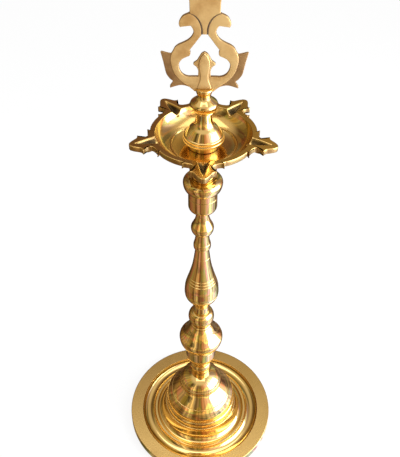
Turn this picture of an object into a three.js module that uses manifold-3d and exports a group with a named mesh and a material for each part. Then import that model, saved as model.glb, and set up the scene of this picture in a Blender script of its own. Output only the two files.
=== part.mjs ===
// A standing oil lamp of cast and turned brass: a dished tray and dome, a turned stem in screwed
// lengths, a bowl with five wick spouts, and a flat scrolled crest on a spindle in the bowl.
// Millimetres, +Z up, the origin on the floor under the lamp's axis, the front spout towards -Y.
import * as THREE from 'three';
import { mergeVertices } from 'three/addons/utils/BufferGeometryUtils.js';
import Module from 'manifold-3d';

const wasm = await Module();
wasm.setup();

// Clearances: between two faces that seat on each other, and round a stud in its socket.
const SEAT_GAP = 0.3;
const BORE_GAP = 0.3;

// Base tray: a ring foot, a flat rim band, a deep trough, a ridge and a cove up to the dome.
const TRAY_RADIUS = 138.3;
const TRAY_RIM_HEIGHT = 16;
const TRAY_BAND_WIDTH = 23.8;
const TRAY_FOOT_WIDTH = 6;
const TRAY_WALL = 4;
const TROUGH_WIDTH = 24.5;
const TROUGH_DEPTH = 9;
const RIDGE_WIDTH = 4;
const GUTTER_WIDTH = 4.5;
const GUTTER_DEPTH = 2.6;
const COVE_HEIGHT = 26;
const EDGE_CHAMFER = 1.2;

// Dome: a thin bell-shaped casting that stands on the tray's cove.
const DOME_FOOT_RADIUS = 67;
const DOME_RADIUS = 64.8;
const DOME_HEIGHT = 64;
const DOME_BEAD_HEIGHT = 12;
const DOME_BELLY_HEIGHT = 18;
const DOME_LINE_RADIUS = 51;
const DOME_LINE_HEIGHT = 34.5;
const DOME_TOP_RADIUS = 31;
const DOME_WALL = 4;
const DOME_STEP = 2;

// Pedestal: a small bell on the dome, a neck, a ring and the cup that the stem screws into.
const PEDESTAL_BELL_RADIUS = 36;
const PEDESTAL_BELL_HEIGHT = 28;
const PEDESTAL_NECK_RADIUS = 15;
const PEDESTAL_NECK_HEIGHT = 18;
const PEDESTAL_RING_RADIUS = 17.4;
const PEDESTAL_RING_HEIGHT = 16;
const LOWER_CUP_FOOT_RADIUS = 17.6;
const LOWER_CUP_FOOT_HEIGHT = 12;
const LOWER_CUP_RADIUS = 26.8;
const LOWER_CUP_HEIGHT = 35;

// Stem: foot band, great bulb, collar, ball, vase, ring, cone, small ball and upper cup, one casting.
const STEM_BAND_RADIUS = 27;
const STEM_BAND_HEIGHT = 8.5;
const BULB_RADIUS = 38.4;
const BULB_LOWER_HEIGHT = 20.5;
const BULB_UPPER_HEIGHT = 31.5;
const COLLAR_RADIUS = 17.6;
const COLLAR_HEIGHT = 6;
const LOWER_NECK_RADIUS = 14.8;
const LOWER_NECK_HEIGHT = 5;
const VASE_FOOT_RADIUS = 13.6;
const BALL_RADIUS = 21.9;
const BALL_HEIGHT = 27;
const VASE_RADIUS = 27.8;
const VASE_LOWER_HEIGHT = 49;
const VASE_UPPER_HEIGHT = 99;
const VASE_NECK_RADIUS = 10.5;
const RING_RADIUS = 13.5;
const RING_HEIGHT = 13;
const CONE_HEIGHT = 19;
const SMALL_BALL_RADIUS = 17.2;
const SMALL_BALL_HEIGHT = 35.5;
const TOP_NECK_RADIUS = 9.7;
const TOP_NECK_HEIGHT = 10;
const UPPER_CUP_RADIUS = 21;
const UPPER_CUP_ROUNDING = 9.7;
const UPPER_CUP_HEIGHT = 17.3;

// Bowl knop: the band, bulb and collar between the stem's cup and the bowl, threaded on its stud.
const KNOP_BAND_HEIGHT = 11;
const KNOP_RADIUS = 28.5;
const KNOP_LOWER_HEIGHT = 14;
const KNOP_UPPER_HEIGHT = 9;
const KNOP_COLLAR_RADIUS = 15.5;
const KNOP_COLLAR_HEIGHT = 6;

// Oil bowl: a solid foot, a dished bowl and a flat flange drawn out into the spouts.
const BOWL_FOOT_RADIUS = 14.5;
const BOWL_STEM_RADIUS = 18.9;
const BOWL_STEM_HEIGHT = 24;
const BOWL_FLOOR_HEIGHT = 46;
const BOWL_FLOOR_RADIUS = 45;
const BOWL_WALL_FOOT = 3;
const BOWL_RIM_HEIGHT = 67;
const BOWL_RIM_RADIUS = 63.9;
const BOWL_WALL = 4.5;
const FLANGE_RADIUS = 70.8;
const FLANGE_THICKNESS = 7.5;
const SPOUTS = 5;
const SPOUT_REACH = 99.5;
const SPOUT_HALF_WIDTH = 9.3;
const SPOUT_NECK_HALF_WIDTH = 11.2;
const SPOUT_BARB_HALF_WIDTH = 16.3;
const ROOT_BARB_HALF_WIDTH = 26.3;
const KEEL_HALF_WIDTH = 10;
const KEEL_DEPTH = 6.5;
const KEEL_LENGTH = 40;
const WICK_GROOVE_HALF_WIDTH = 8;
const WICK_GROOVE_DEPTH = 7;
const WICK_GROOVE_LENGTH = 60;

// Spindle: a foot, a two-ringed bell, a neck, a ball with a lip and a top neck, standing in the bowl.
const SPINDLE_FOOT_RADIUS = 21;
const SPINDLE_FOOT_HEIGHT = 9;
const SPINDLE_BELL_RADIUS = 28;
const SPINDLE_RING_HEIGHT = 5;
const SPINDLE_RING_STEP = 1.6;
const SPINDLE_BELL_HEIGHT = 32;
const SPINDLE_NECK_RADIUS = 9.3;
const SPINDLE_LIP_RADIUS = 13.2;
const SPINDLE_LIP_HEIGHT = 3;
const SPINDLE_BALL_RADIUS = 17.8;
const SPINDLE_BALL_HEIGHT = 19;
const SPINDLE_TOP_RADIUS = 8.5;
const SPINDLE_TOP_HEIGHT = 2.5;

// Crest and the slotted ferrule that holds it.
const FERRULE_RADIUS = 11.5;
const FERRULE_HEIGHT = 9.5;
const FERRULE_FLOOR = 5;
const CREST_HEIGHT = 184;
const CREST_THICKNESS = 4.6;
const FRINGE_THICKNESS = 3;
const CREST_FOOT_HALF_WIDTH = 11.5;
const LOWER_SPIKE_REACH = 41.8;
const LOWER_SPIKE_HEIGHT = 9.6;
const SPIKE_REACH = 52;
const SPIKE_HEIGHT = 57;
const SHOULDER_HALF_WIDTH = 36.5;
const SHOULDER_HEIGHT = 60.4;
const WAIST_HALF_WIDTH = 13.2;
const HOOK_REACH = 30;
const HOOK_HEIGHT = 92;
const HOOK_RISE = 13;
const PLUME_HALF_WIDTH = 17.8;
const TONGUE_HALF_WIDTH = 3.3;
const TONGUE_HEIGHT = 80;
const WINDOW_HALF_WIDTH = 30.6;
const WINDOW_FLOOR = 25.6;
const BUD_HALF_WIDTH = 13.2;
const BUD_HEIGHT = 57.7;

// Studs: their radii, and how deep each sits in the pieces that it joins.
const PEDESTAL_STUD_RADIUS = 8;
const STEM_STUD_RADIUS = 9;
const BOWL_STUD_RADIUS = 8;
const SPINDLE_STUD_RADIUS = 6;
const CREST_STUD_RADIUS = 4;
const SOCKET_DEPTH = 15;
const CREST_SOCKET_DEPTH = 4;
const STUD_END_ROOM = 1;
const STUD_CHAMFER = 1;
const WASHER_RADIUS = 16;
const WASHER_THICKNESS = 2.5;
const NUT_ACROSS_FLATS = 24;
const NUT_HEIGHT = 12;
const STUD_TAIL = 4;

// Facets round a turned piece and along one curve of its outline.
const WIDE_FACETS = 36;
const TURNED_FACETS = 22;
const STUD_FACETS = 16;
const CURVE_STEPS = 3;
const FLOW_STEPS = 2;

// Finishes.
const polished = new THREE.MeshStandardMaterial({ color: '#c8932f', roughness: 0.12, metalness: 1 });
const brushed = new THREE.MeshStandardMaterial({ color: '#b58a45', roughness: 0.35, metalness: 1 });
const sanded = new THREE.MeshStandardMaterial({ color: '#cfa276', roughness: 0.5, metalness: 1 });
const steel = new THREE.MeshStandardMaterial({ color: '#8d8a84', roughness: 0.4, metalness: 1 });

// A closed geometry as a solid that can be joined and cut.
function toSolid(geometry) {
  const bare = geometry.index ? geometry : mergeVertices(geometry);
  bare.deleteAttribute('normal');
  bare.deleteAttribute('uv');
  const merged = mergeVertices(bare, 1e-4);
  return new wasm.Manifold(new wasm.Mesh({
    numProp: 3,
    vertProperties: new Float32Array(merged.attributes.position.array),
    triVerts: new Uint32Array(merged.index.array),
  }));
}

// A solid as a named mesh with its own finish.
function toMesh(name, solid, finish) {
  const { vertProperties, triVerts, numProp } = solid.getMesh();
  const positions = new Float32Array(triVerts.length * 3);
  triVerts.forEach((vertex, i) => {
    for (let axis = 0; axis < 3; axis++) positions[3 * i + axis] = vertProperties[numProp * vertex + axis];
  });
  const geometry = new THREE.BufferGeometry();
  geometry.setAttribute('position', new THREE.BufferAttribute(positions, 3));
  geometry.computeVertexNormals();
  const mesh = new THREE.Mesh(geometry, finish);
  mesh.name = name;
  return mesh;
}

// A half outline of radius and height, turned round the upright axis.
function turn(path, facets) {
  const geometry = new THREE.LatheGeometry(path.getPoints(CURVE_STEPS), facets);
  geometry.rotateX(Math.PI / 2);
  return toSolid(geometry);
}

// A quarter of an ellipse from the path's last point to (radius, height), bulging to the corner.
function quarter(path, cornerRadius, cornerHeight, radius, height) {
  const { x, y } = path.currentPoint;
  const pull = 0.5523;
  return path.bezierCurveTo(
    x + (cornerRadius - x) * pull, y + (cornerHeight - y) * pull,
    radius + (cornerRadius - radius) * pull, height + (cornerHeight - height) * pull,
    radius, height);
}

// A turned bead from the path's last point up to (radius, height), widest at `swell` at `middle`.
function bead(path, swell, middle, radius, height) {
  quarter(path, swell, path.currentPoint.y, swell, middle);
  return quarter(path, swell, height, radius, height);
}

// A smooth line from the path's last point through the others, in FLOW_STEPS straight parts for each.
function flow(path, through) {
  const { x, y } = path.currentPoint;
  const curve = new THREE.SplineCurve([new THREE.Vector2(x, y), ...through]);
  for (const point of curve.getPoints(FLOW_STEPS * through.length).slice(1)) path.lineTo(point.x, point.y);
  return path;
}

// A round bar between two heights with both ends chamfered.
function stud(radius, bottom, top) {
  return turn(new THREE.Path()
    .moveTo(0, bottom)
    .lineTo(radius - STUD_CHAMFER, bottom)
    .lineTo(radius, bottom + STUD_CHAMFER)
    .lineTo(radius, top - STUD_CHAMFER)
    .lineTo(radius - STUD_CHAMFER, top)
    .lineTo(0, top), STUD_FACETS);
}

// A plain cylinder between two heights, for a socket or a through hole.
function drill(radius, bottom, top) {
  return turn(new THREE.Path()
    .moveTo(0, bottom)
    .lineTo(radius, bottom)
    .lineTo(radius, top)
    .lineTo(0, top), STUD_FACETS);
}

// The base tray, an open ring of even wall: over its top from the foot to the cove, then back under.
const bandInner = TRAY_RADIUS - TRAY_BAND_WIDTH;
const troughMiddle = bandInner - TROUGH_WIDTH / 2;
const ridgeOuter = bandInner - TROUGH_WIDTH;
const ridgeInner = ridgeOuter - RIDGE_WIDTH;
const gutterRadius = ridgeInner - GUTTER_WIDTH;
const troughFloor = TRAY_RIM_HEIGHT - TROUGH_DEPTH;
const coveRadius = DOME_FOOT_RADIUS + DOME_STEP;
const coveTop = TRAY_RIM_HEIGHT + COVE_HEIGHT;
const trayOpening = DOME_FOOT_RADIUS - TRAY_WALL - DOME_STEP;

function makeTray() {
  const underBand = TRAY_RIM_HEIGHT - TRAY_WALL;
  const underTrough = troughFloor - TRAY_WALL;
  const underGutter = underBand - GUTTER_DEPTH;
  const path = new THREE.Path()
    .moveTo(TRAY_RADIUS - TRAY_FOOT_WIDTH, 0)
    .lineTo(TRAY_RADIUS - EDGE_CHAMFER, 0)
    .lineTo(TRAY_RADIUS, EDGE_CHAMFER)
    .lineTo(TRAY_RADIUS, TRAY_RIM_HEIGHT - EDGE_CHAMFER)
    .lineTo(TRAY_RADIUS - EDGE_CHAMFER, TRAY_RIM_HEIGHT)
    .lineTo(bandInner, TRAY_RIM_HEIGHT);
  quarter(path, bandInner, troughFloor, troughMiddle, troughFloor);
  quarter(path, ridgeOuter, troughFloor, ridgeOuter, TRAY_RIM_HEIGHT);
  path.lineTo(ridgeInner, TRAY_RIM_HEIGHT);
  path.lineTo(gutterRadius, TRAY_RIM_HEIGHT - GUTTER_DEPTH);
  quarter(path, coveRadius, TRAY_RIM_HEIGHT - GUTTER_DEPTH, coveRadius, coveTop);
  path.lineTo(trayOpening, coveTop);
  path.lineTo(trayOpening, coveTop - TRAY_WALL);
  quarter(path, coveRadius - TRAY_WALL, underGutter, gutterRadius - TRAY_WALL, underGutter);
  path.lineTo(ridgeOuter - TRAY_WALL / 2, underGutter);
  quarter(path, ridgeOuter - TRAY_WALL / 2, underTrough, troughMiddle, underTrough);
  quarter(path, bandInner + TRAY_WALL / 2, underTrough, bandInner + TRAY_WALL / 2, underBand);
  path.lineTo(TRAY_RADIUS - TRAY_FOOT_WIDTH, underBand);
  path.lineTo(TRAY_RADIUS - TRAY_FOOT_WIDTH, 0);
  return turn(path, WIDE_FACETS);
}

// The shoulder of the dome, from its belly over the incised line up to the top, set in by a wall.
function domeShoulder(inset) {
  const drop = inset / 2;
  const waist = (DOME_LINE_RADIUS + DOME_TOP_RADIUS) / 2 + 1;
  return [
    new THREE.Vector2(DOME_RADIUS - inset, DOME_BELLY_HEIGHT - drop),
    new THREE.Vector2((DOME_RADIUS + DOME_LINE_RADIUS) / 2 + 3 - inset,
      (DOME_BELLY_HEIGHT + DOME_LINE_HEIGHT) / 2 - drop),
    new THREE.Vector2(DOME_LINE_RADIUS - inset, DOME_LINE_HEIGHT - drop),
    new THREE.Vector2(waist - inset, (DOME_LINE_HEIGHT + DOME_HEIGHT) / 2 - drop),
    new THREE.Vector2(DOME_TOP_RADIUS - drop, DOME_HEIGHT - inset),
  ];
}

// The dome, a shell open below, with a foot bead, a belly, and a hole for the pedestal's stud.
function makeDome() {
  const outer = domeShoulder(0);
  const inner = domeShoulder(DOME_WALL).reverse();
  const path = new THREE.Path()
    .moveTo(DOME_FOOT_RADIUS - DOME_WALL - DOME_STEP, 0)
    .lineTo(DOME_FOOT_RADIUS, 0);
  quarter(path, DOME_FOOT_RADIUS, DOME_BEAD_HEIGHT, DOME_RADIUS - 1, DOME_BEAD_HEIGHT);
  path.lineTo(outer[0].x, outer[0].y);
  flow(path, outer.slice(1));
  path.lineTo(PEDESTAL_STUD_RADIUS + BORE_GAP, DOME_HEIGHT);
  path.lineTo(PEDESTAL_STUD_RADIUS + BORE_GAP, DOME_HEIGHT - DOME_WALL);
  path.lineTo(inner[0].x, inner[0].y);
  flow(path, inner.slice(1));
  path.lineTo(DOME_FOOT_RADIUS - DOME_WALL - DOME_STEP, DOME_BEAD_HEIGHT);
  path.lineTo(DOME_FOOT_RADIUS - DOME_WALL - DOME_STEP, 0);
  return turn(path, WIDE_FACETS);
}

// The pedestal: bell, neck, ring and round-bottomed cup, with a stud socket in each end.
const pedestalNeckTop = PEDESTAL_BELL_HEIGHT + PEDESTAL_NECK_HEIGHT;
const pedestalRingTop = pedestalNeckTop + PEDESTAL_RING_HEIGHT;
const lowerCupFoot = pedestalRingTop + LOWER_CUP_FOOT_HEIGHT;
const pedestalHeight = lowerCupFoot + LOWER_CUP_HEIGHT;

function makePedestal() {
  const path = new THREE.Path()
    .moveTo(0, 0)
    .lineTo(PEDESTAL_BELL_RADIUS - EDGE_CHAMFER, 0)
    .lineTo(PEDESTAL_BELL_RADIUS, EDGE_CHAMFER)
    .lineTo(PEDESTAL_BELL_RADIUS, 3)
    .quadraticCurveTo(PEDESTAL_BELL_RADIUS - 6, PEDESTAL_BELL_HEIGHT - 9,
      PEDESTAL_NECK_RADIUS, PEDESTAL_BELL_HEIGHT)
    .lineTo(PEDESTAL_NECK_RADIUS, pedestalNeckTop);
  bead(path, PEDESTAL_RING_RADIUS, pedestalNeckTop + PEDESTAL_RING_HEIGHT / 2,
    LOWER_CUP_FOOT_RADIUS - 1, pedestalRingTop);
  path.lineTo(LOWER_CUP_FOOT_RADIUS, lowerCupFoot);
  quarter(path, LOWER_CUP_RADIUS, lowerCupFoot, LOWER_CUP_RADIUS, pedestalHeight - EDGE_CHAMFER);
  path.lineTo(LOWER_CUP_RADIUS - EDGE_CHAMFER, pedestalHeight);
  path.lineTo(0, pedestalHeight);
  return turn(path, TURNED_FACETS)
    .subtract(drill(PEDESTAL_STUD_RADIUS + BORE_GAP, -SOCKET_DEPTH, SOCKET_DEPTH))
    .subtract(drill(STEM_STUD_RADIUS + BORE_GAP, pedestalHeight - SOCKET_DEPTH, pedestalHeight + 1));
}

// The stem's heights, each measured up from the seat in the lower cup.
const bulbMiddle = STEM_BAND_HEIGHT + BULB_LOWER_HEIGHT;
const bulbTop = bulbMiddle + BULB_UPPER_HEIGHT;
const collarTop = bulbTop + COLLAR_HEIGHT;
const ballFoot = collarTop + LOWER_NECK_HEIGHT;
const vaseFoot = ballFoot + BALL_HEIGHT;
const vaseMiddle = vaseFoot + VASE_LOWER_HEIGHT;
const vaseTop = vaseMiddle + VASE_UPPER_HEIGHT;
const ringTop = vaseTop + RING_HEIGHT;
const smallBallFoot = ringTop + CONE_HEIGHT;
const smallBallMiddle = smallBallFoot + SMALL_BALL_HEIGHT / 3;
const topNeckFoot = smallBallFoot + SMALL_BALL_HEIGHT;
const upperCupFoot = topNeckFoot + TOP_NECK_HEIGHT;
const upperCupWall = upperCupFoot + UPPER_CUP_ROUNDING;
const stemHeight = upperCupWall + UPPER_CUP_HEIGHT;

// A swelling outline between a neck's radius and the full radius, as pairs of two shares: how far out
// from the neck, and how far up from one height to another.
function swelling(neckRadius, fullRadius, bottom, top, shares) {
  return shares.map(([out, up]) => new THREE.Vector2(
    neckRadius + (fullRadius - neckRadius) * out,
    bottom + (top - bottom) * up));
}

function makeStem() {
  const path = new THREE.Path()
    .moveTo(0, 0)
    .lineTo(STEM_BAND_RADIUS - EDGE_CHAMFER / 2, 0)
    .lineTo(STEM_BAND_RADIUS, EDGE_CHAMFER / 2)
    .lineTo(STEM_BAND_RADIUS, STEM_BAND_HEIGHT);
  quarter(path, BULB_RADIUS, STEM_BAND_HEIGHT, BULB_RADIUS, bulbMiddle);
  flow(path, swelling(COLLAR_RADIUS - 1, BULB_RADIUS, bulbMiddle, bulbTop,
    [[0.72, 0.26], [0.46, 0.5], [0.28, 0.72], [0, 1]]));
  bead(path, COLLAR_RADIUS, (bulbTop + collarTop) / 2, LOWER_NECK_RADIUS, collarTop);
  path.lineTo(LOWER_NECK_RADIUS, ballFoot);
  bead(path, BALL_RADIUS, ballFoot + BALL_HEIGHT / 2, VASE_FOOT_RADIUS, vaseFoot);
  flow(path, [
    ...swelling(VASE_FOOT_RADIUS, VASE_RADIUS, vaseFoot, vaseMiddle,
      [[0, 0.2], [0.12, 0.43], [0.52, 0.66], [1, 1]]),
    ...swelling(VASE_NECK_RADIUS, VASE_RADIUS, vaseMiddle, vaseTop,
      [[0.9, 0.21], [0.49, 0.47], [0.23, 0.68], [0, 1]]),
  ]);
  bead(path, RING_RADIUS, vaseTop + RING_HEIGHT / 2, RING_RADIUS - 1, ringTop);
  flow(path, [
    new THREE.Vector2(TOP_NECK_RADIUS + 1.4, ringTop + CONE_HEIGHT * 0.4),
    new THREE.Vector2(TOP_NECK_RADIUS, smallBallFoot),
  ]);
  quarter(path, SMALL_BALL_RADIUS, smallBallFoot, SMALL_BALL_RADIUS, smallBallMiddle);
  flow(path, swelling(TOP_NECK_RADIUS, SMALL_BALL_RADIUS, smallBallMiddle, topNeckFoot,
    [[0.65, 0.33], [0.28, 0.62], [0, 1]]));
  path.lineTo(TOP_NECK_RADIUS, upperCupFoot);
  quarter(path, UPPER_CUP_RADIUS, upperCupFoot, UPPER_CUP_RADIUS, upperCupWall);
  path.lineTo(UPPER_CUP_RADIUS, stemHeight - EDGE_CHAMFER / 2);
  path.lineTo(UPPER_CUP_RADIUS - EDGE_CHAMFER / 2, stemHeight);
  path.lineTo(0, stemHeight);
  return turn(path, TURNED_FACETS)
    .subtract(drill(STEM_STUD_RADIUS + BORE_GAP, -1, SOCKET_DEPTH))
    .subtract(drill(BOWL_STUD_RADIUS + BORE_GAP, stemHeight - SOCKET_DEPTH, stemHeight + 1));
}

// The knop: band, bulb and collar, bored right through for the bowl's stud.
const knopMiddle = KNOP_BAND_HEIGHT + KNOP_LOWER_HEIGHT;
const knopShoulder = knopMiddle + KNOP_UPPER_HEIGHT;
const knopHeight = knopShoulder + KNOP_COLLAR_HEIGHT;

function makeKnop() {
  const path = new THREE.Path()
    .moveTo(0, 0)
    .lineTo(UPPER_CUP_RADIUS - EDGE_CHAMFER / 2, 0)
    .lineTo(UPPER_CUP_RADIUS, EDGE_CHAMFER / 2)
    .lineTo(UPPER_CUP_RADIUS, KNOP_BAND_HEIGHT);
  bead(path, KNOP_RADIUS, knopMiddle, KNOP_COLLAR_RADIUS - 1, knopShoulder);
  bead(path, KNOP_COLLAR_RADIUS, (knopShoulder + knopHeight) / 2, KNOP_COLLAR_RADIUS - 1, knopHeight);
  path.lineTo(0, knopHeight);
  return turn(path, TURNED_FACETS)
    .subtract(drill(BOWL_STUD_RADIUS + BORE_GAP, -1, knopHeight + 1));
}

// One spout's plan, from one root barb out to the tip and back to the other, pointing along -Y.
function spoutPlan() {
  const rootBarb = Math.sqrt(FLANGE_RADIUS ** 2 - ROOT_BARB_HALF_WIDTH ** 2);
  const half = [
    [ROOT_BARB_HALF_WIDTH - 2.5, rootBarb - 0.5],
    [ROOT_BARB_HALF_WIDTH, rootBarb + 3.5],
    [ROOT_BARB_HALF_WIDTH - 6, rootBarb + 3],
    [SPOUT_NECK_HALF_WIDTH + 2, rootBarb + 6],
    [SPOUT_NECK_HALF_WIDTH, rootBarb + 10],
    [SPOUT_BARB_HALF_WIDTH, SPOUT_REACH - 14.5],
    [SPOUT_HALF_WIDTH + 2.2, SPOUT_REACH - 11.5],
    [SPOUT_HALF_WIDTH, SPOUT_REACH - 8.5],
    [SPOUT_HALF_WIDTH - 3.3, SPOUT_REACH - 4],
  ];
  const back = half.map(([across, along]) => [-across, along]).reverse();
  return [...half, [0, SPOUT_REACH], ...back]
    .map(([across, along]) => new THREE.Vector2(across, -along));
}

// The flange: the five spouts' plans joined by arcs of the flange's own circle.
function makeFlange() {
  const share = 2 * Math.PI / SPOUTS;
  const barbAngle = Math.asin(ROOT_BARB_HALF_WIDTH / FLANGE_RADIUS);
  const outline = [];
  for (let spout = 0; spout < SPOUTS; spout++) {
    const turned = spout * share;
    for (const point of spoutPlan().reverse()) {
      outline.push(point.rotateAround(new THREE.Vector2(0, 0), turned));
    }
    for (let step = 1; step < CURVE_STEPS; step++) {
      const angle = turned - Math.PI / 2 + barbAngle + (share - 2 * barbAngle) * step / CURVE_STEPS;
      outline.push(new THREE.Vector2(Math.cos(angle), Math.sin(angle)).multiplyScalar(FLANGE_RADIUS));
    }
  }
  const plate = new THREE.ExtrudeGeometry(new THREE.Shape(outline),
    { depth: FLANGE_THICKNESS, bevelEnabled: false });
  plate.translate(0, 0, BOWL_RIM_HEIGHT - FLANGE_THICKNESS);
  return toSolid(plate);
}

// A pointed leaf form lying along -Y: as long, half as wide and half as deep as given.
function makeLeaf(length, halfWidth, halfDepth, middle, height) {
  const profile = [];
  const steps = 6;
  for (let i = 0; i <= steps; i++) {
    profile.push(new THREE.Vector2(Math.sin(Math.PI * i / steps), i / steps - 0.5));
  }
  profile[0].x = 0;
  profile[steps].x = 0;
  const leaf = new THREE.LatheGeometry(profile, 10);
  leaf.scale(halfWidth, length, halfDepth);
  leaf.translate(0, -middle, height);
  return toSolid(leaf);
}

// The bowl: foot and dished body turned, flange and keels joined on, then the well, the wick
// grooves and the two stud sockets cut.
function makeBowl() {
  const flangeUnder = BOWL_RIM_HEIGHT - FLANGE_THICKNESS;
  const body = new THREE.Path()
    .moveTo(0, 0)
    .lineTo(BOWL_FOOT_RADIUS, 0);
  quarter(body, BOWL_STEM_RADIUS, 0, BOWL_STEM_RADIUS, BOWL_STEM_RADIUS - BOWL_FOOT_RADIUS);
  body.lineTo(BOWL_STEM_RADIUS, BOWL_STEM_HEIGHT);
  flow(body, [
    new THREE.Vector2(BOWL_STEM_RADIUS + 9, BOWL_STEM_HEIGHT + 8),
    new THREE.Vector2(BOWL_FLOOR_RADIUS + 2, BOWL_FLOOR_HEIGHT - BOWL_WALL),
    new THREE.Vector2(BOWL_RIM_RADIUS - 3, flangeUnder - 7),
    new THREE.Vector2(BOWL_RIM_RADIUS + BOWL_WALL, flangeUnder + 1),
  ]);
  body.lineTo(0, flangeUnder + 1);
  const well = new THREE.Path()
    .moveTo(0, BOWL_FLOOR_HEIGHT)
    .lineTo(BOWL_FLOOR_RADIUS / 2, BOWL_FLOOR_HEIGHT)
    .lineTo(BOWL_FLOOR_RADIUS, BOWL_FLOOR_HEIGHT + BOWL_WALL_FOOT)
    .quadraticCurveTo(BOWL_RIM_RADIUS - 5, BOWL_FLOOR_HEIGHT + 7, BOWL_RIM_RADIUS, BOWL_RIM_HEIGHT)
    .lineTo(BOWL_RIM_RADIUS, BOWL_RIM_HEIGHT + 2)
    .lineTo(0, BOWL_RIM_HEIGHT + 2);
  let bowl = turn(body, WIDE_FACETS).add(makeFlange());
  const keel = makeLeaf(KEEL_LENGTH, KEEL_HALF_WIDTH, KEEL_DEPTH,
    SPOUT_REACH - KEEL_LENGTH / 2 - 3, flangeUnder - 0.5);
  const groove = makeLeaf(WICK_GROOVE_LENGTH, WICK_GROOVE_HALF_WIDTH, WICK_GROOVE_DEPTH,
    SPOUT_REACH - WICK_GROOVE_LENGTH / 2 - 8, BOWL_RIM_HEIGHT);
  const turns = Array.from({ length: SPOUTS }, (_, spout) => spout * 360 / SPOUTS);
  for (const angle of turns) bowl = bowl.add(keel.rotate([0, 0, angle]));
  bowl = bowl.subtract(turn(well, WIDE_FACETS));
  for (const angle of turns) bowl = bowl.subtract(groove.rotate([0, 0, angle]));
  return bowl
    .subtract(drill(BOWL_STUD_RADIUS + BORE_GAP, -1, SOCKET_DEPTH))
    .subtract(drill(SPINDLE_STUD_RADIUS + BORE_GAP, BOWL_FLOOR_HEIGHT - SOCKET_DEPTH,
      BOWL_FLOOR_HEIGHT + 1));
}

// The spindle: foot, two rings, hollow-sided bell, lip and ball, with a stud socket in each end.
const spindleLowRing = SPINDLE_FOOT_HEIGHT + SPINDLE_RING_HEIGHT;
const spindleBellFoot = spindleLowRing + SPINDLE_RING_HEIGHT;
const spindleBellTop = spindleBellFoot + SPINDLE_BELL_HEIGHT;
const spindleBallFoot = spindleBellTop + SPINDLE_LIP_HEIGHT;
const spindleBallMiddle = spindleBallFoot + SPINDLE_BALL_HEIGHT / 2;
const spindleBallTop = spindleBallFoot + SPINDLE_BALL_HEIGHT;
const spindleHeight = spindleBallTop + SPINDLE_TOP_HEIGHT;

function makeSpindle() {
  const path = new THREE.Path()
    .moveTo(0, 0)
    .lineTo(SPINDLE_FOOT_RADIUS, 0)
    .lineTo(SPINDLE_FOOT_RADIUS, SPINDLE_FOOT_HEIGHT);
  bead(path, SPINDLE_BELL_RADIUS, (SPINDLE_FOOT_HEIGHT + spindleLowRing) / 2,
    SPINDLE_BELL_RADIUS - SPINDLE_RING_STEP, spindleLowRing);
  bead(path, SPINDLE_BELL_RADIUS - SPINDLE_RING_STEP / 2, (spindleLowRing + spindleBellFoot) / 2,
    SPINDLE_BELL_RADIUS - 2 * SPINDLE_RING_STEP, spindleBellFoot);
  flow(path, [
    new THREE.Vector2((SPINDLE_BELL_RADIUS + SPINDLE_NECK_RADIUS) / 2, spindleBellFoot + 9),
    new THREE.Vector2(SPINDLE_NECK_RADIUS + 3, spindleBellFoot + SPINDLE_BELL_HEIGHT / 2),
    new THREE.Vector2(SPINDLE_NECK_RADIUS, spindleBellTop),
  ]);
  bead(path, SPINDLE_LIP_RADIUS, (spindleBellTop + spindleBallFoot) / 2,
    SPINDLE_LIP_RADIUS - 1, spindleBallFoot);
  quarter(path, SPINDLE_BALL_RADIUS, spindleBallFoot, SPINDLE_BALL_RADIUS, spindleBallMiddle);
  flow(path, swelling(SPINDLE_TOP_RADIUS, SPINDLE_BALL_RADIUS, spindleBallMiddle, spindleBallTop,
    [[0.85, 0.28], [0.5, 0.55], [0.15, 0.82], [0, 1]]));
  path.lineTo(SPINDLE_TOP_RADIUS, spindleHeight);
  path.lineTo(0, spindleHeight);
  return turn(path, TURNED_FACETS)
    .subtract(drill(SPINDLE_STUD_RADIUS + BORE_GAP, -1, SOCKET_DEPTH))
    .subtract(drill(CREST_STUD_RADIUS + BORE_GAP, spindleHeight - SOCKET_DEPTH, spindleHeight + 1));
}

// The ferrule: a small flaring cup with a socket below and a slot across its top for the crest.
function makeFerrule() {
  const path = new THREE.Path()
    .moveTo(0, 0)
    .lineTo(SPINDLE_TOP_RADIUS, 0);
  quarter(path, FERRULE_RADIUS - 1, FERRULE_HEIGHT / 2, FERRULE_RADIUS, FERRULE_HEIGHT - EDGE_CHAMFER);
  path.lineTo(FERRULE_RADIUS - EDGE_CHAMFER, FERRULE_HEIGHT);
  path.lineTo(0, FERRULE_HEIGHT);
  const slot = new THREE.BoxGeometry(3 * FERRULE_RADIUS, CREST_THICKNESS + 2 * BORE_GAP, FERRULE_HEIGHT);
  slot.translate(0, 0, FERRULE_FLOOR + FERRULE_HEIGHT / 2);
  return turn(path, TURNED_FACETS)
    .subtract(toSolid(slot))
    .subtract(drill(CREST_STUD_RADIUS + BORE_GAP, -1, CREST_SOCKET_DEPTH));
}

// Points given as pairs of distance across from the middle and height above the spindle's top.
function points(pairs) {
  return pairs.map(([across, height]) => new THREE.Vector2(across, height));
}

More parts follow.
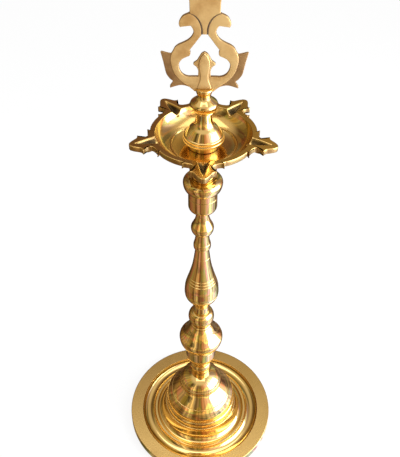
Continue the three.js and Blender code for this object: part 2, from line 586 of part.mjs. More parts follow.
// The right half of the crest's edge above the fringe: shoulder, hook and flame-shaped plume.
const crestFoot = FERRULE_FLOOR + SEAT_GAP;
const plumeFoot = HOOK_HEIGHT + HOOK_RISE;
function upperEdge(path) {
  flow(path, points([
    [33.2, 64.9], [26.6, 68.7], [20.3, 72.1], [15.8, 76.3],
    [WAIST_HALF_WIDTH, 82], [WAIST_HALF_WIDTH + 1.4, 87.5], [18, 91], [HOOK_REACH - 7, 91],
    [HOOK_REACH - 1.2, HOOK_HEIGHT - 3.4],
  ]));
  flow(path, points([
    [HOOK_REACH, HOOK_HEIGHT], [HOOK_REACH - 1.1, HOOK_HEIGHT + 4.2], [HOOK_REACH - 4.7, HOOK_HEIGHT + 9.4],
    [PLUME_HALF_WIDTH, plumeFoot],
  ]));
  path.lineTo(PLUME_HALF_WIDTH, plumeFoot + 13);
  flow(path, points([
    [PLUME_HALF_WIDTH + 1.5, plumeFoot + 26],
    [PLUME_HALF_WIDTH - 1, plumeFoot + 42],
    [PLUME_HALF_WIDTH / 2 + 1, CREST_HEIGHT - 18],
    [0, CREST_HEIGHT],
  ]));
  return path;
}

// The right half of the whole crest, with the two spikes of its fringe.
function fringeEdge() {
  const path = new THREE.Path().moveTo(CREST_FOOT_HALF_WIDTH, crestFoot);
  flow(path, points([
    [17.5, 10.4], [24, 12.9], [31, 13.1], [LOWER_SPIKE_REACH, LOWER_SPIKE_HEIGHT],
  ]));
  flow(path, points([
    [LOWER_SPIKE_REACH, LOWER_SPIKE_HEIGHT + 3], [38.4, 18.2], [LOWER_SPIKE_REACH, 22],
    [46, 28.4], [48, 37.4], [49.5, 45.4], [SPIKE_REACH, SPIKE_HEIGHT - 1],
  ]));
  flow(path, points([[SPIKE_REACH - 1, SPIKE_HEIGHT + 0.5], [42.3, 54.6], [39.4, 55.6]]));
  path.lineTo(SHOULDER_HALF_WIDTH, SHOULDER_HEIGHT);
  return upperEdge(path);
}

// The right half of the raised scroll, which leaves the fringe standing back behind it.
function scrollEdge() {
  const path = new THREE.Path().moveTo(CREST_FOOT_HALF_WIDTH, crestFoot);
  flow(path, points([
    [19, 12], [27.2, 18.4], [32.6, 24], [36.5, 30], [39, 37], [40.6, 46], [39.6, 54],
    [SHOULDER_HALF_WIDTH, SHOULDER_HEIGHT],
  ]));
  return upperEdge(path);
}

// The right half of the window, from the plume's tongue down its barb and lobe and up the bud.
function windowEdge() {
  const path = new THREE.Path().moveTo(TONGUE_HALF_WIDTH, TONGUE_HEIGHT).lineTo(17.6, 60.2);
  flow(path, points([[16.7, 56.6], [17.8, 53], [21.5, 51.2]]));
  flow(path, points([
    [26.7, 48.2], [30.1, 43.4], [WINDOW_HALF_WIDTH, 38.4], [29, 32.6], [25.4, 28], [20, WINDOW_FLOOR],
    [13, WINDOW_FLOOR], [9.2, 28],
  ]));
  flow(path, points([
    [7.6, 33.4], [9.6, 38.2], [BUD_HALF_WIDTH, 41.4], [BUD_HALF_WIDTH - 0.4, 43.8], [9, 46.6], [6.6, 50.8],
    [3.6, 55.6], [0, BUD_HEIGHT],
  ]));
  return path;
}

// A half edge and its mirror image as one closed outline.
function mirrored(path) {
  const half = path.getPoints(CURVE_STEPS);
  const other = half.filter(point => point.x > 1e-6).map(point => new THREE.Vector2(-point.x, point.y));
  return new THREE.Shape([...half, ...other.reverse()]);
}

// An upright plate of an outline, centred on the plane of the crest.
function plate(shape, thickness) {
  const geometry = new THREE.ExtrudeGeometry(shape, { depth: thickness, bevelEnabled: false });
  geometry.rotateX(Math.PI / 2);
  geometry.translate(0, thickness / 2, 0);
  return toSolid(geometry);
}

function makeCrest() {
  return plate(mirrored(fringeEdge()), FRINGE_THICKNESS)
    .add(plate(mirrored(scrollEdge()), CREST_THICKNESS))
    .subtract(plate(mirrored(windowEdge()), 2 * CREST_THICKNESS));
}

// A piece whose underside lies at a height of its own length of the lamp.
function place(group, height) {
  group.position.z = height;
  return group;
}

// The fixing under the dome: stud, washer and hexagon nut, measured down from the pedestal's seat.
const washerTop = -SEAT_GAP - DOME_WALL - SEAT_GAP;
const nutTop = washerTop - WASHER_THICKNESS - SEAT_GAP;
const pedestalStudFoot = nutTop - NUT_HEIGHT - STUD_TAIL;
const pedestalStudHole = drill(PEDESTAL_STUD_RADIUS + BORE_GAP, pedestalStudFoot, 0);

function makeWasher() {
  return drill(WASHER_RADIUS, washerTop - WASHER_THICKNESS, washerTop).subtract(pedestalStudHole);
}

function makeNut() {
  const acrossCorners = NUT_ACROSS_FLATS / Math.sqrt(3);
  const hexagon = new THREE.CylinderGeometry(acrossCorners, acrossCorners, NUT_HEIGHT, 6);
  hexagon.rotateX(Math.PI / 2);
  hexagon.translate(0, 0, nutTop - NUT_HEIGHT / 2);
  return toSolid(hexagon).subtract(pedestalStudHole);
}

// Each length of the lamp stands on the one below it, so the groups nest from the floor up.
const socketReach = SOCKET_DEPTH - STUD_END_ROOM;

const crestGroup = place(new THREE.Group(), spindleHeight + SEAT_GAP).add(
  toMesh('crest_stud', stud(CREST_STUD_RADIUS, -socketReach, CREST_SOCKET_DEPTH - SEAT_GAP), polished),
  toMesh('crest_ferrule', makeFerrule(), polished),
  toMesh('crest', makeCrest(), sanded),
);

const spindleGroup = place(new THREE.Group(), BOWL_FLOOR_HEIGHT + SEAT_GAP).add(
  toMesh('spindle_stud', stud(SPINDLE_STUD_RADIUS, -socketReach, socketReach), polished),
  toMesh('spindle', makeSpindle(), polished),
  crestGroup,
);

const bowlGroup = place(new THREE.Group(), knopHeight + SEAT_GAP).add(
  toMesh('oil_bowl', makeBowl(), brushed),
  spindleGroup,
);

const knopGroup = place(new THREE.Group(), stemHeight + SEAT_GAP).add(
  toMesh('bowl_stud', stud(BOWL_STUD_RADIUS, -socketReach, knopHeight + SEAT_GAP + socketReach), polished),
  toMesh('bowl_knop', makeKnop(), polished),
  bowlGroup,
);

const stemGroup = place(new THREE.Group(), pedestalHeight + SEAT_GAP).add(
  toMesh('stem_stud', stud(STEM_STUD_RADIUS, -socketReach, socketReach), polished),
  toMesh('stem', makeStem(), polished),
  knopGroup,
);

const pedestalGroup = place(new THREE.Group(), DOME_HEIGHT + SEAT_GAP).add(
  toMesh('pedestal', makePedestal(), polished),
  toMesh('pedestal_stud', stud(PEDESTAL_STUD_RADIUS, pedestalStudFoot, socketReach), steel),
  toMesh('pedestal_washer', makeWasher(), steel),
  toMesh('pedestal_nut', makeNut(), steel),
  stemGroup,
);

const domeGroup = place(new THREE.Group(), coveTop + SEAT_GAP).add(
  toMesh('base_dome', makeDome(), polished),
  pedestalGroup,
);

const lamp = new THREE.Group().add(toMesh('base_tray', makeTray(), brushed), domeGroup);

export default lamp;
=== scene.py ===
# A standing oil lamp of cast and turned brass. The sections follow the lamp from the floor up, in the
# order in which its pieces are put together, and the studio comes last. The lamp's sizes are in
# millimetres.
import math

import bmesh
import bpy
import numpy as np
from mathutils import Matrix, Vector


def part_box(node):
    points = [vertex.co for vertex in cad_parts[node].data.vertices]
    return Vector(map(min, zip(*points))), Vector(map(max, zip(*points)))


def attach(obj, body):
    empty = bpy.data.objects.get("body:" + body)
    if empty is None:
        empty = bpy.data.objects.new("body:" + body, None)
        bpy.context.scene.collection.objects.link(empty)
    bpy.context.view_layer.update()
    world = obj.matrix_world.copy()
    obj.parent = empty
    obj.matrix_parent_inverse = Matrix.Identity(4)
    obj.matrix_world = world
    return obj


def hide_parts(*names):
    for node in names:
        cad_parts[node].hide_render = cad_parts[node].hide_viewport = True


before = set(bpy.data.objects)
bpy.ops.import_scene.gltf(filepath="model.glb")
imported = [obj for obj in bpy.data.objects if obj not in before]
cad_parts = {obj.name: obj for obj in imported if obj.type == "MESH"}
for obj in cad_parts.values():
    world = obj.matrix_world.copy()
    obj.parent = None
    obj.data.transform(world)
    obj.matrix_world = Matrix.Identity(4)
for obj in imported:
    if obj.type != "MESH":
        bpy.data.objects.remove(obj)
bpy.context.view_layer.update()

MM = 0.001


def span(node):
    """Where a node stands: the height of its foot, its own height and its reach along X."""
    low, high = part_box(node)
    return low.z / MM, high.z / MM - low.z / MM, high.x / MM


# Base tray. A heavy brass casting, turned on its face: a ring foot, a flat satin rim, a polished trough
# for the drips, a thin ridge and a cove that sweeps up to the seat of the dome.
TRAY_RIM_HEIGHT = 16
TRAY_BAND_WIDTH = 23.8
TRAY_FOOT_WIDTH = 6
TRAY_WALL = 4
TROUGH_WIDTH = 24.5
TROUGH_DEPTH = 9
RIDGE_WIDTH = 4
GUTTER_WIDTH = 4.5
GUTTER_DEPTH = 2.6
COVE_FOOT_RADIUS = 69
TRAY_OPENING = 61


def quarter(start, corner, end, steps=16):
    """A quarter of an ellipse: the start, plus the way to the corner times the sine of the turn, plus
    the way from the corner to the end times one minus its cosine."""
    start, corner, end = (np.array(point, float) for point in (start, corner, end))
    turn = np.linspace(0, math.pi / 2, steps + 1)[:, None]
    return start + (corner - start) * np.sin(turn) + (end - corner) * (1 - np.cos(turn))


def bead(start, swell, end, steps=16):
    """Two quarters of an ellipse, out from the start to the swell at half the height and back."""
    middle = (swell, (start[1] + end[1]) / 2)
    lower = quarter(start, (swell, start[1]), middle, steps)
    return np.vstack([lower, quarter(middle, (swell, end[1]), end, steps)])


def smooth(points, steps=10):
    """A line through the points: each span is a cubic whose slope at a point is half of the way
    between that point's two neighbours, but nil at a doubled point, which is a corner."""
    points = np.array(points, float)
    padded = np.vstack([points[:1], points, points[-1:]])
    slope = (padded[2:] - padded[:-2]) / 2
    corner = (points[1:] == points[:-1]).all(axis=1)
    slope[1:][corner] = slope[:-1][corner] = 0
    t = np.linspace(0, 1, steps, endpoint=False)[:, None, None]
    spans = ((2 * t**3 - 3 * t**2 + 1) * points[:-1] + (t**3 - 2 * t**2 + t) * slope[:-1]
             + (3 * t**2 - 2 * t**3) * points[1:] + (t**3 - t**2) * slope[1:])
    return np.vstack([spans.transpose(1, 0, 2).reshape(-1, 2), points[-1:]])


def apart(outline, least=1e-4):
    """The outline without the points that lie on the one before them."""
    step = np.linalg.norm(np.diff(outline, axis=0), axis=1)
    return outline[np.concatenate([[True], step > least])]


def rounded(runs, radius, sharp=0.35):
    """An outline of points and runs of points. Each corner that turns by more than `sharp` is cut back
    and bridged by a parabola, tangent to both sides, with one more point on each side so that the flats
    beside it stay flat."""
    outline = apart(np.vstack(runs).astype(float))
    way = np.diff(outline, axis=0)
    length = np.linalg.norm(way, axis=1)[:, None]
    way = way / length
    turn = np.arccos(np.clip((way[:-1] * way[1:]).sum(1), -1, 1))[:, None]
    room = 0.4 * np.minimum(length[:-1], length[1:])
    cut = np.where(turn > sharp, np.minimum(radius * np.tan(np.minimum(turn, 2) / 2), room), 0)
    t = np.linspace(0, 1, 6)[:, None, None]
    corner, back, on = outline[1:-1], way[:-1], way[1:]
    bridge = corner - back * cut * (1 - t)**2 + on * cut * t**2
    before, after = corner - back * cut * 1.25, corner + on * cut * 1.25
    stacked = np.concatenate([before[None], bridge, after[None]]).transpose(1, 0, 2).reshape(-1, 2)
    return apart(np.vstack([outline[:1], stacked, outline[-1:]]))


def reach_along(outline):
    """How far along the outline each of its points is."""
    return np.concatenate([[0], np.cumsum(np.linalg.norm(np.diff(outline, axis=0), axis=1))])


def incised(outline, marks, width, depth):
    """The outline with a groove at each mark: it dips along its normal by the depth times half of one
    plus the cosine, over the width. The outline runs up its outer side."""
    for mark in marks:
        reach = reach_along(outline)
        fine = np.linspace(0, reach[-1], 6000)
        near = np.hypot(*(np.interp(fine, reach, outline[:, k]) - mark[k] for k in (0, 1)))
        middle = fine[near.argmin()]
        kept = reach[abs(reach - middle) > 0.8 * width]
        reach_new = np.sort(np.concatenate([kept, middle + width * np.linspace(-0.8, 0.8, 17)]))
        outline = np.stack([np.interp(reach_new, reach, outline[:, k]) for k in (0, 1)], axis=1)
        slope = np.gradient(outline, reach_new, axis=0)
        normal = np.stack([slope[:, 1], -slope[:, 0]], axis=1)
        across = np.clip((reach_new - middle) / (width / 2), -1, 1)
        outline = outline - normal * (depth / 2 * (1 + np.cos(math.pi * across)))[:, None]
    return outline


def linked(name, mesh):
    """A mesh as an object of the scene."""
    piece = bpy.data.objects.new(name, mesh)
    bpy.context.scene.collection.objects.link(piece)
    return piece


def grid_mesh(name, points, round_columns=0, round_rows=0):
    """A mesh over a grid of points, rows by columns, closed round the columns or the rows where 1."""
    rows, columns = points.shape[:2]
    index = np.arange(rows * columns).reshape(rows, columns)
    index = np.vstack([index, index[:round_rows]])
    index = np.hstack([index, index[:, :round_columns]])
    faces = np.stack([index[:-1, :-1], index[:-1, 1:], index[1:, 1:], index[1:, :-1]], axis=-1)
    mesh = bpy.data.meshes.new(name)
    mesh.from_pydata(points.reshape(-1, 3).tolist(), [], faces.reshape(-1, 4).tolist())
    return mesh


def skin(name, points, ring=False):
    """A piece over a grid of points, closed round the columns and, for a ring, round the rows too.
    Points that fall together are merged, which closes the poles."""
    mesh = grid_mesh(name, points * MM, 1, int(ring))
    work = bmesh.new()
    work.from_mesh(mesh)
    bmesh.ops.remove_doubles(work, verts=work.verts, dist=1e-6)
    bmesh.ops.recalc_face_normals(work, faces=work.faces)
    work.to_mesh(mesh)
    work.free()
    mesh.shade_smooth()
    return linked(name, mesh)


def round_axis(radius, angle, height):
    """Points round the lamp's axis: x is the radius times the angle's cosine, and y the radius times
    its sine."""
    return np.stack([radius * np.cos(angle), radius * np.sin(angle), height + 0 * angle], axis=-1)


def turned(name, outline, foot, columns=160, ring=False):
    """An outline of radius and height turned round the lamp's axis, its foot at the given height."""
    angle = np.linspace(0, 2 * math.pi, columns, endpoint=False)
    return skin(name, round_axis(outline[:, :1], angle, outline[:, 1:] + foot), ring)


def feed(node, inputs):
    """Each input of a node, by its name or number, linked to a socket or set to a value."""
    for name, value in inputs.items():
        if isinstance(value, bpy.types.NodeSocket):
            node.id_data.links.new(value, node.inputs[name])
        else:
            node.inputs[name].default_value = value


def add(tree, kind, inputs=None, **settings):
    """A node of a tree with its settings, and with its inputs fed."""
    made = tree.nodes.new(kind)
    for name, value in settings.items():
        setattr(made, name, value)
    feed(made, inputs or {})
    return made


def calc(tree, operation, *values):
    """What a Math node makes of sockets and numbers."""
    return add(tree, "ShaderNodeMath", dict(enumerate(values)), operation=operation).outputs[0]


def calc_vector(tree, operation, *values):
    """What a Vector Math node makes of sockets and vectors."""
    made = add(tree, "ShaderNodeVectorMath", dict(enumerate(values)), operation=operation)
    return made.outputs["Value" if operation == "LENGTH" else "Vector"]


def ranged(tree, value, low, high, to_low=0.0, to_high=1.0, eased=False):
    """A value between low and high, moved to between two other numbers and held there."""
    limits = {"Value": value, "From Min": low, "From Max": high, "To Min": to_low, "To Max": to_high}
    kind = "SMOOTHSTEP" if eased else "LINEAR"
    return add(tree, "ShaderNodeMapRange", limits, interpolation_type=kind).outputs["Result"]


def noise(tree, place, scale, detail, roughness=0.5):
    """Noise over a place."""
    return add(tree, "ShaderNodeTexNoise", {"Vector": place, "Scale": scale, "Detail": detail,
                                            "Roughness": roughness}).outputs["Fac"]


def mix(tree, share, first, second, kind="RGBA"):
    """A mix of two colours, or of two numbers where the kind is FLOAT, by the share of the second."""
    inputs = {"Factor": share, "A": first, "B": second}
    return add(tree, "ShaderNodeMix", inputs, data_type=kind).outputs["Result"]


def shader_group(name, inputs, outputs):
    """A shader node group, its inputs' sockets and its output node. An input whose value is None is a
    vector, and every other input and output is a number."""
    group = bpy.data.node_groups.new(name, "ShaderNodeTree")
    for label, value in inputs.items():
        kind = "NodeSocketVector" if value is None else "NodeSocketFloat"
        socket = group.interface.new_socket(name=label, in_out="INPUT", socket_type=kind)
        if value is not None:
            socket.default_value = value
    for label in outputs:
        group.interface.new_socket(name=label, in_out="OUTPUT", socket_type="NodeSocketFloat")
    return group, add(group, "NodeGroupInput").outputs, add(group, "NodeGroupOutput")


def from_axis(tree, place):
    """How far a place is from the lamp's axis."""
    return calc_vector(tree, "LENGTH", calc_vector(tree, "MULTIPLY", place, (1, 1, 0)))


def upward(tree, vector):
    """The part of a vector along Z."""
    return add(tree, "ShaderNodeSeparateXYZ", {0: vector}).outputs["Z"]


def make_lathe_lines():
    """Fine turning lines: noise along the height and noise along the radius, added, so that it is the
    same all the way round the axis."""
    group, given, out = shader_group("lathe_lines", {"Position": None, "Lines per metre": 2500.0},
                                     ["Height"])
    lines = []
    for run in (from_axis(group, given["Position"]), upward(group, given["Position"])):
        along = calc(group, "MULTIPLY", run, given["Lines per metre"])
        lines.append(add(group, "ShaderNodeTexNoise", {"W": along, "Scale": 1.0, "Detail": 2.0},
                         noise_dimensions="1D").outputs["Fac"])
    feed(out, {"Height": calc(group, "MULTIPLY", calc(group, "ADD", *lines), 0.5)})
    return group


def make_handling():
    """What hands and cloths leave on brass: broad soft smudges, and hair scratches, which are noise
    drawn out along two slanting ways."""
    group, given, out = shader_group("handling", {"Position": None, "Scale": 28.0}, ["Smudge", "Scratch"])
    cloud = noise(group, given["Position"], given["Scale"], 5.0, 0.6)
    hairs = []
    for turn, stretch in (((0.5, 0.3, 0.9), (60, 60, 1500)), ((-0.6, 0.2, -0.7), (1300, 50, 70))):
        drawn = add(group, "ShaderNodeMapping", {"Vector": given["Position"], "Rotation": turn,
                                                 "Scale": stretch})
        hairs.append(noise(group, drawn.outputs[0], 1.0, 1.0))
    feed(out, {"Smudge": ranged(group, cloud, 0.38, 0.72, eased=True),
               "Scratch": calc(group, "MULTIPLY", calc(group, "ADD", *hairs), 0.5)})
    return group


def make_tarnish_and_shade():
    """Brown tarnish and painted shade where a cloth doesn't reach: how far a point is shut in by what
    stands near it.
    """
    group, given, out = shader_group("tarnish_and_shade", {"Distance": 0.006}, ["Shut in"])
    open_sky = add(group, "ShaderNodeAmbientOcclusion", {"Distance": given["Distance"]}, samples=6)
    feed(out, {"Shut in": ranged(group, open_sky.outputs["AO"], 0.85, 0.25, eased=True)})
    return group


lathe_lines = make_lathe_lines()
handling = make_handling()
tarnish_and_shade = make_tarnish_and_shade()


def paint(name):
    """A new material, its node tree and its shader."""
    material = bpy.data.materials.new(name)
    material.use_nodes = True
    return material, material.node_tree, material.node_tree.nodes["Principled BSDF"]


def brass(name, fresh, dull_and_shaded, roughness, spread, line_height=0.00001, lines=2500.0, metallic=1.0,
          veiled=0.18):
    """Brass: fresh metal that goes dull in smudges and dark in recesses, by tarnish and painted shade,
    with turning lines and hair scratches in its height. Below 1, metallic leaves a share to a pale film
    of oxide."""
    material, tree, shader = paint(name)
    place = add(tree, "ShaderNodeTexCoord").outputs["Object"]
    marks = add(tree, "ShaderNodeGroup", {"Position": place}, node_tree=handling).outputs
    turning = add(tree, "ShaderNodeGroup", {"Position": place, "Lines per metre": lines},
                  node_tree=lathe_lines).outputs
    recess_shade = add(tree, "ShaderNodeGroup", node_tree=tarnish_and_shade).outputs
    # The dull colour goes on smudges, and on recesses as tarnish and painted shade.
    shade = calc(tree, "MAXIMUM", calc(tree, "MULTIPLY", marks["Smudge"], veiled), recess_shade["Shut in"])
    height = calc(tree, "MULTIPLY_ADD", marks["Scratch"], 0.5, turning["Height"])
    bump = add(tree, "ShaderNodeBump", {"Height": height, "Distance": line_height})
    feed(shader, {"Base Color": mix(tree, shade, (*fresh, 1), (*dull_and_shaded, 1)), "Metallic": metallic,
                  "Roughness": ranged(tree, marks["Smudge"], 0, 1, roughness, roughness + spread),
                  "Normal": bump.outputs["Normal"]})
    return material


# The second colour of each brass is its dull colour, which also paints shade into recesses.
satin_brass = brass("satin_brass", (0.72, 0.50, 0.19), (0.34, 0.18, 0.06), 0.24, 0.12, 0.000012, 1800.0)
polished_brass = brass("polished_brass", (0.86, 0.62, 0.25), (0.26, 0.12, 0.035), 0.045, 0.05)


def dress(piece, node, body, material=polished_brass):
    """The piece stands for its CAD node, rides on its body and wears its finish."""
    piece.data.materials.append(material)
    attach(piece, body)
    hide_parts(node)


tray_foot, tray_height, tray_radius = span("base_tray")
band_inner = tray_radius - TRAY_BAND_WIDTH
trough_middle = band_inner - TROUGH_WIDTH / 2
ridge_outer = band_inner - TROUGH_WIDTH
ridge_inner = ridge_outer - RIDGE_WIDTH
gutter_radius = ridge_inner - GUTTER_WIDTH
trough_floor = TRAY_RIM_HEIGHT - TROUGH_DEPTH
gutter_floor = TRAY_RIM_HEIGHT - GUTTER_DEPTH
under_band = TRAY_RIM_HEIGHT - TRAY_WALL
under_trough = trough_floor - TRAY_WALL
under_gutter = gutter_floor - TRAY_WALL

tray_outline = rounded([
    (tray_radius - TRAY_FOOT_WIDTH / 2, 0),
    (tray_radius, 0),
    (tray_radius, TRAY_RIM_HEIGHT),
    quarter((band_inner, TRAY_RIM_HEIGHT), (band_inner, trough_floor), (trough_middle, trough_floor)),
    quarter((trough_middle, trough_floor), (ridge_outer, trough_floor), (ridge_outer, TRAY_RIM_HEIGHT)),
    (ridge_inner, TRAY_RIM_HEIGHT),
    quarter((gutter_radius, gutter_floor), (COVE_FOOT_RADIUS, gutter_floor),
            (COVE_FOOT_RADIUS, tray_height)),
    (TRAY_OPENING, tray_height),
    quarter((TRAY_OPENING, tray_height - TRAY_WALL), (COVE_FOOT_RADIUS - TRAY_WALL, under_gutter),
            (gutter_radius - TRAY_WALL, under_gutter)),
    quarter((ridge_outer - TRAY_WALL / 2, under_gutter), (ridge_outer - TRAY_WALL / 2, under_trough),
            (trough_middle, under_trough)),
    quarter((trough_middle, under_trough), (band_inner + TRAY_WALL / 2, under_trough),
            (band_inner + TRAY_WALL / 2, under_band)),
    (tray_radius - TRAY_FOOT_WIDTH, under_band),
    (tray_radius - TRAY_FOOT_WIDTH, 0),
    (tray_radius - TRAY_FOOT_WIDTH / 2, 0),
], 1.1)[:-1]
tray = turned("tray", tray_outline, tray_foot, columns=240, ring=True)
dress(tray, "base_tray", "base", satin_brass)


def of_faces(piece, label):
    """The normals or centres of a piece's faces, a row for each."""
    values = np.empty(3 * len(piece.data.polygons))
    piece.data.polygons.foreach_get(label, values)
    return values.reshape(-1, 3)


def second_finish(piece, material, chosen):
    """Another finish on the chosen faces of a piece."""
    piece.data.materials.append(material)
    piece.data.polygons.foreach_set("material_index", chosen.astype(np.int32))


second_finish(tray, polished_brass, np.hypot(*of_faces(tray, "center").T[:2]) < band_inner * MM)


# Dome. A thin bell-shaped casting, turned smooth and polished, that stands on the tray's cove. It has a
# bead round its foot and a line cut into its shoulder on the lathe.
DOME_BEAD_HEIGHT = 12
DOME_SIDE = [(64.8, 18), (64.3, 24), (62.3, 31), (59, 37.5), (54.5, 43.5), (49, 49.5), (43, 55),
             (38, 59.5), (35.5, 64)]
DOME_LINE = 4
DOME_LINE_WIDTH = 2.0
DOME_LINE_DEPTH = 0.8
DOME_WALL = 4
DOME_STEP = 2
DOME_HOLE = 8.3

dome_foot, dome_height, dome_radius = span("base_dome")


def dome_shoulder(inset):
    """The dome's side from its belly up over the shoulder to the top, moved in by an inset and down by
    half as much, and no higher than the top less the inset."""
    side = np.array(DOME_SIDE, float) - (inset, inset / 2)
    side[:, 1] = np.minimum(side[:, 1], dome_height - inset)
    side[-1, 1] = dome_height - inset
    return smooth(side)


dome_inner = dome_radius - DOME_WALL - DOME_STEP
dome_outline = rounded([
    (dome_inner + DOME_WALL / 2, 0),
    quarter((dome_radius, 0), (dome_radius, DOME_BEAD_HEIGHT), (DOME_SIDE[0][0] - 1, DOME_BEAD_HEIGHT)),
    dome_shoulder(0),
    (DOME_HOLE, dome_height),
    (DOME_HOLE, dome_height - DOME_WALL),
    dome_shoulder(DOME_WALL)[::-1],
    (dome_inner, DOME_BEAD_HEIGHT),
    (dome_inner, 0),
    (dome_inner + DOME_WALL / 2, 0),
], 0.7)[:-1]
dome_outline = incised(dome_outline, [DOME_SIDE[DOME_LINE]], DOME_LINE_WIDTH, DOME_LINE_DEPTH)
dome = turned("dome", dome_outline, dome_foot, columns=200, ring=True)
dress(dome, "base_dome", "base")


# Pedestal. One turned casting: a small bell with a rolled lip, a neck, a ring and the round-bottomed
# cup that the stem screws into, with a threaded socket in each end.
PEDESTAL_LIP_RADIUS = 39
PEDESTAL_LIP_HEIGHT = 6
PEDESTAL_LINE_HEIGHT = 10.5
PEDESTAL_LINE_WIDTH = 1.6
PEDESTAL_LINE_DEPTH = 0.6
PEDESTAL_BELL_HEIGHT = 28
PEDESTAL_NECK_RADIUS = 17
PEDESTAL_NECK_TOP = 46
PEDESTAL_RING_RADIUS = 18.8
PEDESTAL_RING_TOP = 62
LOWER_CUP_FOOT_RADIUS = 17.6
LOWER_CUP_FOOT_TOP = 74
LOWER_CUP_RADIUS = 26.8
LOWER_CUP_WALL = 17
SOCKET_DEPTH = 15
PEDESTAL_SOCKET = 8.3
STEM_SOCKET = 9.3


def socket(radius, mouth, depth):
    """A tapped hole's outline, from the axis out along its floor and along its side to its mouth."""
    return [(0, mouth + depth), (radius, mouth + depth), (radius, mouth)]


def bow(start, control, end, steps=20):
    """A parabola from start to end that leaves and arrives along the lines to its control point."""
    t = np.linspace(0, 1, steps + 1)[:, None]
    start, control, end = (np.array(point, float) for point in (start, control, end))
    return (1 - t)**2 * start + 2 * t * (1 - t) * control + t**2 * end


pedestal_foot, pedestal_height, pedestal_radius = span("pedestal")
pedestal_outline = rounded([
    socket(PEDESTAL_SOCKET, 0, SOCKET_DEPTH),
    bow((pedestal_radius, 0), (PEDESTAL_LIP_RADIUS, 0.5), (PEDESTAL_LIP_RADIUS, PEDESTAL_LIP_HEIGHT)),
    bow((PEDESTAL_LIP_RADIUS, PEDESTAL_LIP_HEIGHT), (PEDESTAL_LIP_RADIUS - 1.5, PEDESTAL_BELL_HEIGHT - 7),
        (PEDESTAL_NECK_RADIUS, PEDESTAL_BELL_HEIGHT)),
    bead((PEDESTAL_NECK_RADIUS, PEDESTAL_NECK_TOP), PEDESTAL_RING_RADIUS,
         (LOWER_CUP_FOOT_RADIUS - 1, PEDESTAL_RING_TOP)),
    quarter((LOWER_CUP_FOOT_RADIUS, LOWER_CUP_FOOT_TOP), (LOWER_CUP_RADIUS, LOWER_CUP_FOOT_TOP),
            (LOWER_CUP_RADIUS, pedestal_height - LOWER_CUP_WALL)),
    (LOWER_CUP_RADIUS, pedestal_height),
    socket(STEM_SOCKET, pedestal_height, -SOCKET_DEPTH)[::-1],
], 0.7)
pedestal_outline = incised(pedestal_outline, [(PEDESTAL_LIP_RADIUS - 1, PEDESTAL_LINE_HEIGHT)],
                           PEDESTAL_LINE_WIDTH, PEDESTAL_LINE_DEPTH)
pedestal = turned("pedestal_turning", pedestal_outline, pedestal_foot)
dress(pedestal, "pedestal", "base")


# The fixing under the dome. A zinc-plated threaded stud screws up into the pedestal, and a washer and
# a hexagon nut pull it down on the dome from below.
PITCH = 2.5
THREAD_DEPTH = 1.0
NUT_ACROSS_FLATS = 24
NUT_CHAMFER = 30
NUT_FACE_SHARE = 0.96


def capped(wall, height, inner):
    """Rows of a wall with one more at each end, drawn in to an inner radius."""
    end = inner + 0 * wall[:1]
    return np.vstack([end, wall, end]), np.vstack([height[:1], height, height[-1:]])


def threaded(name, radius, foot, height, columns=48, steps=10):
    """A screw: the radius less the depth times a triangle wave of the height over the pitch less the
    angle over a whole turn. The wave dies away over the first and last half pitch."""
    angle = np.linspace(0, 2 * math.pi, columns, endpoint=False)
    up = np.linspace(0, height, int(height / PITCH * steps))[:, None]
    wave = ((foot + up) / PITCH - angle / (2 * math.pi)) % 1
    ends = np.clip(np.minimum(up, height - up) / (PITCH / 2), 0, 1)
    wall = radius - THREAD_DEPTH * (1 - ends * (1 - abs(2 * wave - 1)))
    radius, up = capped(wall, up, 0)
    return skin(name, round_axis(radius, angle, foot + up))


def hexagon(name, across_flats, hole, foot, height, columns=144):
    """A chamfered hexagon nut: its radius is half the flats over the cosine of the angle from the
    nearest flat's middle, but no more than a cone of NUT_CHAMFER degrees allows at either face."""
    angle = np.linspace(0, 2 * math.pi, columns, endpoint=False)
    up = np.linspace(0, height, 25)[:, None]
    cone = (NUT_FACE_SHARE * across_flats / 2
            + np.minimum(up, height - up) / math.tan(math.radians(NUT_CHAMFER)))
    wall = np.minimum(across_flats / 2 / np.cos(angle % (math.pi / 3) - math.pi / 6), cone)
    radius, up = capped(wall, up, hole)
    return skin(name, round_axis(radius, angle, foot + up), ring=True)


def make_zinc():
    """Zinc plate: a grey metal whose crystals catch the light in patches."""
    material, tree, shader = paint("zinc_plate")
    place = add(tree, "ShaderNodeTexCoord").outputs["Object"]
    crystal = add(tree, "ShaderNodeTexVoronoi", {"Vector": place, "Scale": 400.0}).outputs["Distance"]
    feed(shader, {"Base Color": mix(tree, crystal, (0.62, 0.61, 0.58, 1), (0.44, 0.44, 0.43, 1)),
                  "Metallic": 1.0, "Roughness": ranged(tree, crystal, 0, 1, 0.3, 0.5)})
    return material


zinc_plate = make_zinc()

foot, height, reach = span("pedestal_stud")
fixing_stud = threaded("fixing_stud", reach, foot, height)
foot, height, reach = span("pedestal_washer")
washer_outline = rounded([(reach, height / 2), (reach, height), (DOME_HOLE, height), (DOME_HOLE, 0),
                          (reach, 0), (reach, height / 2)], 0.4)[:-1]
washer = turned("fixing_washer", washer_outline, foot, columns=72, ring=True)
nut = hexagon("fixing_nut", NUT_ACROSS_FLATS, DOME_HOLE, *span("pedestal_nut")[:2])
for piece, node in ((fixing_stud, "pedestal_stud"), (washer, "pedestal_washer"), (nut, "pedestal_nut")):
    dress(piece, node, "base", zinc_plate)


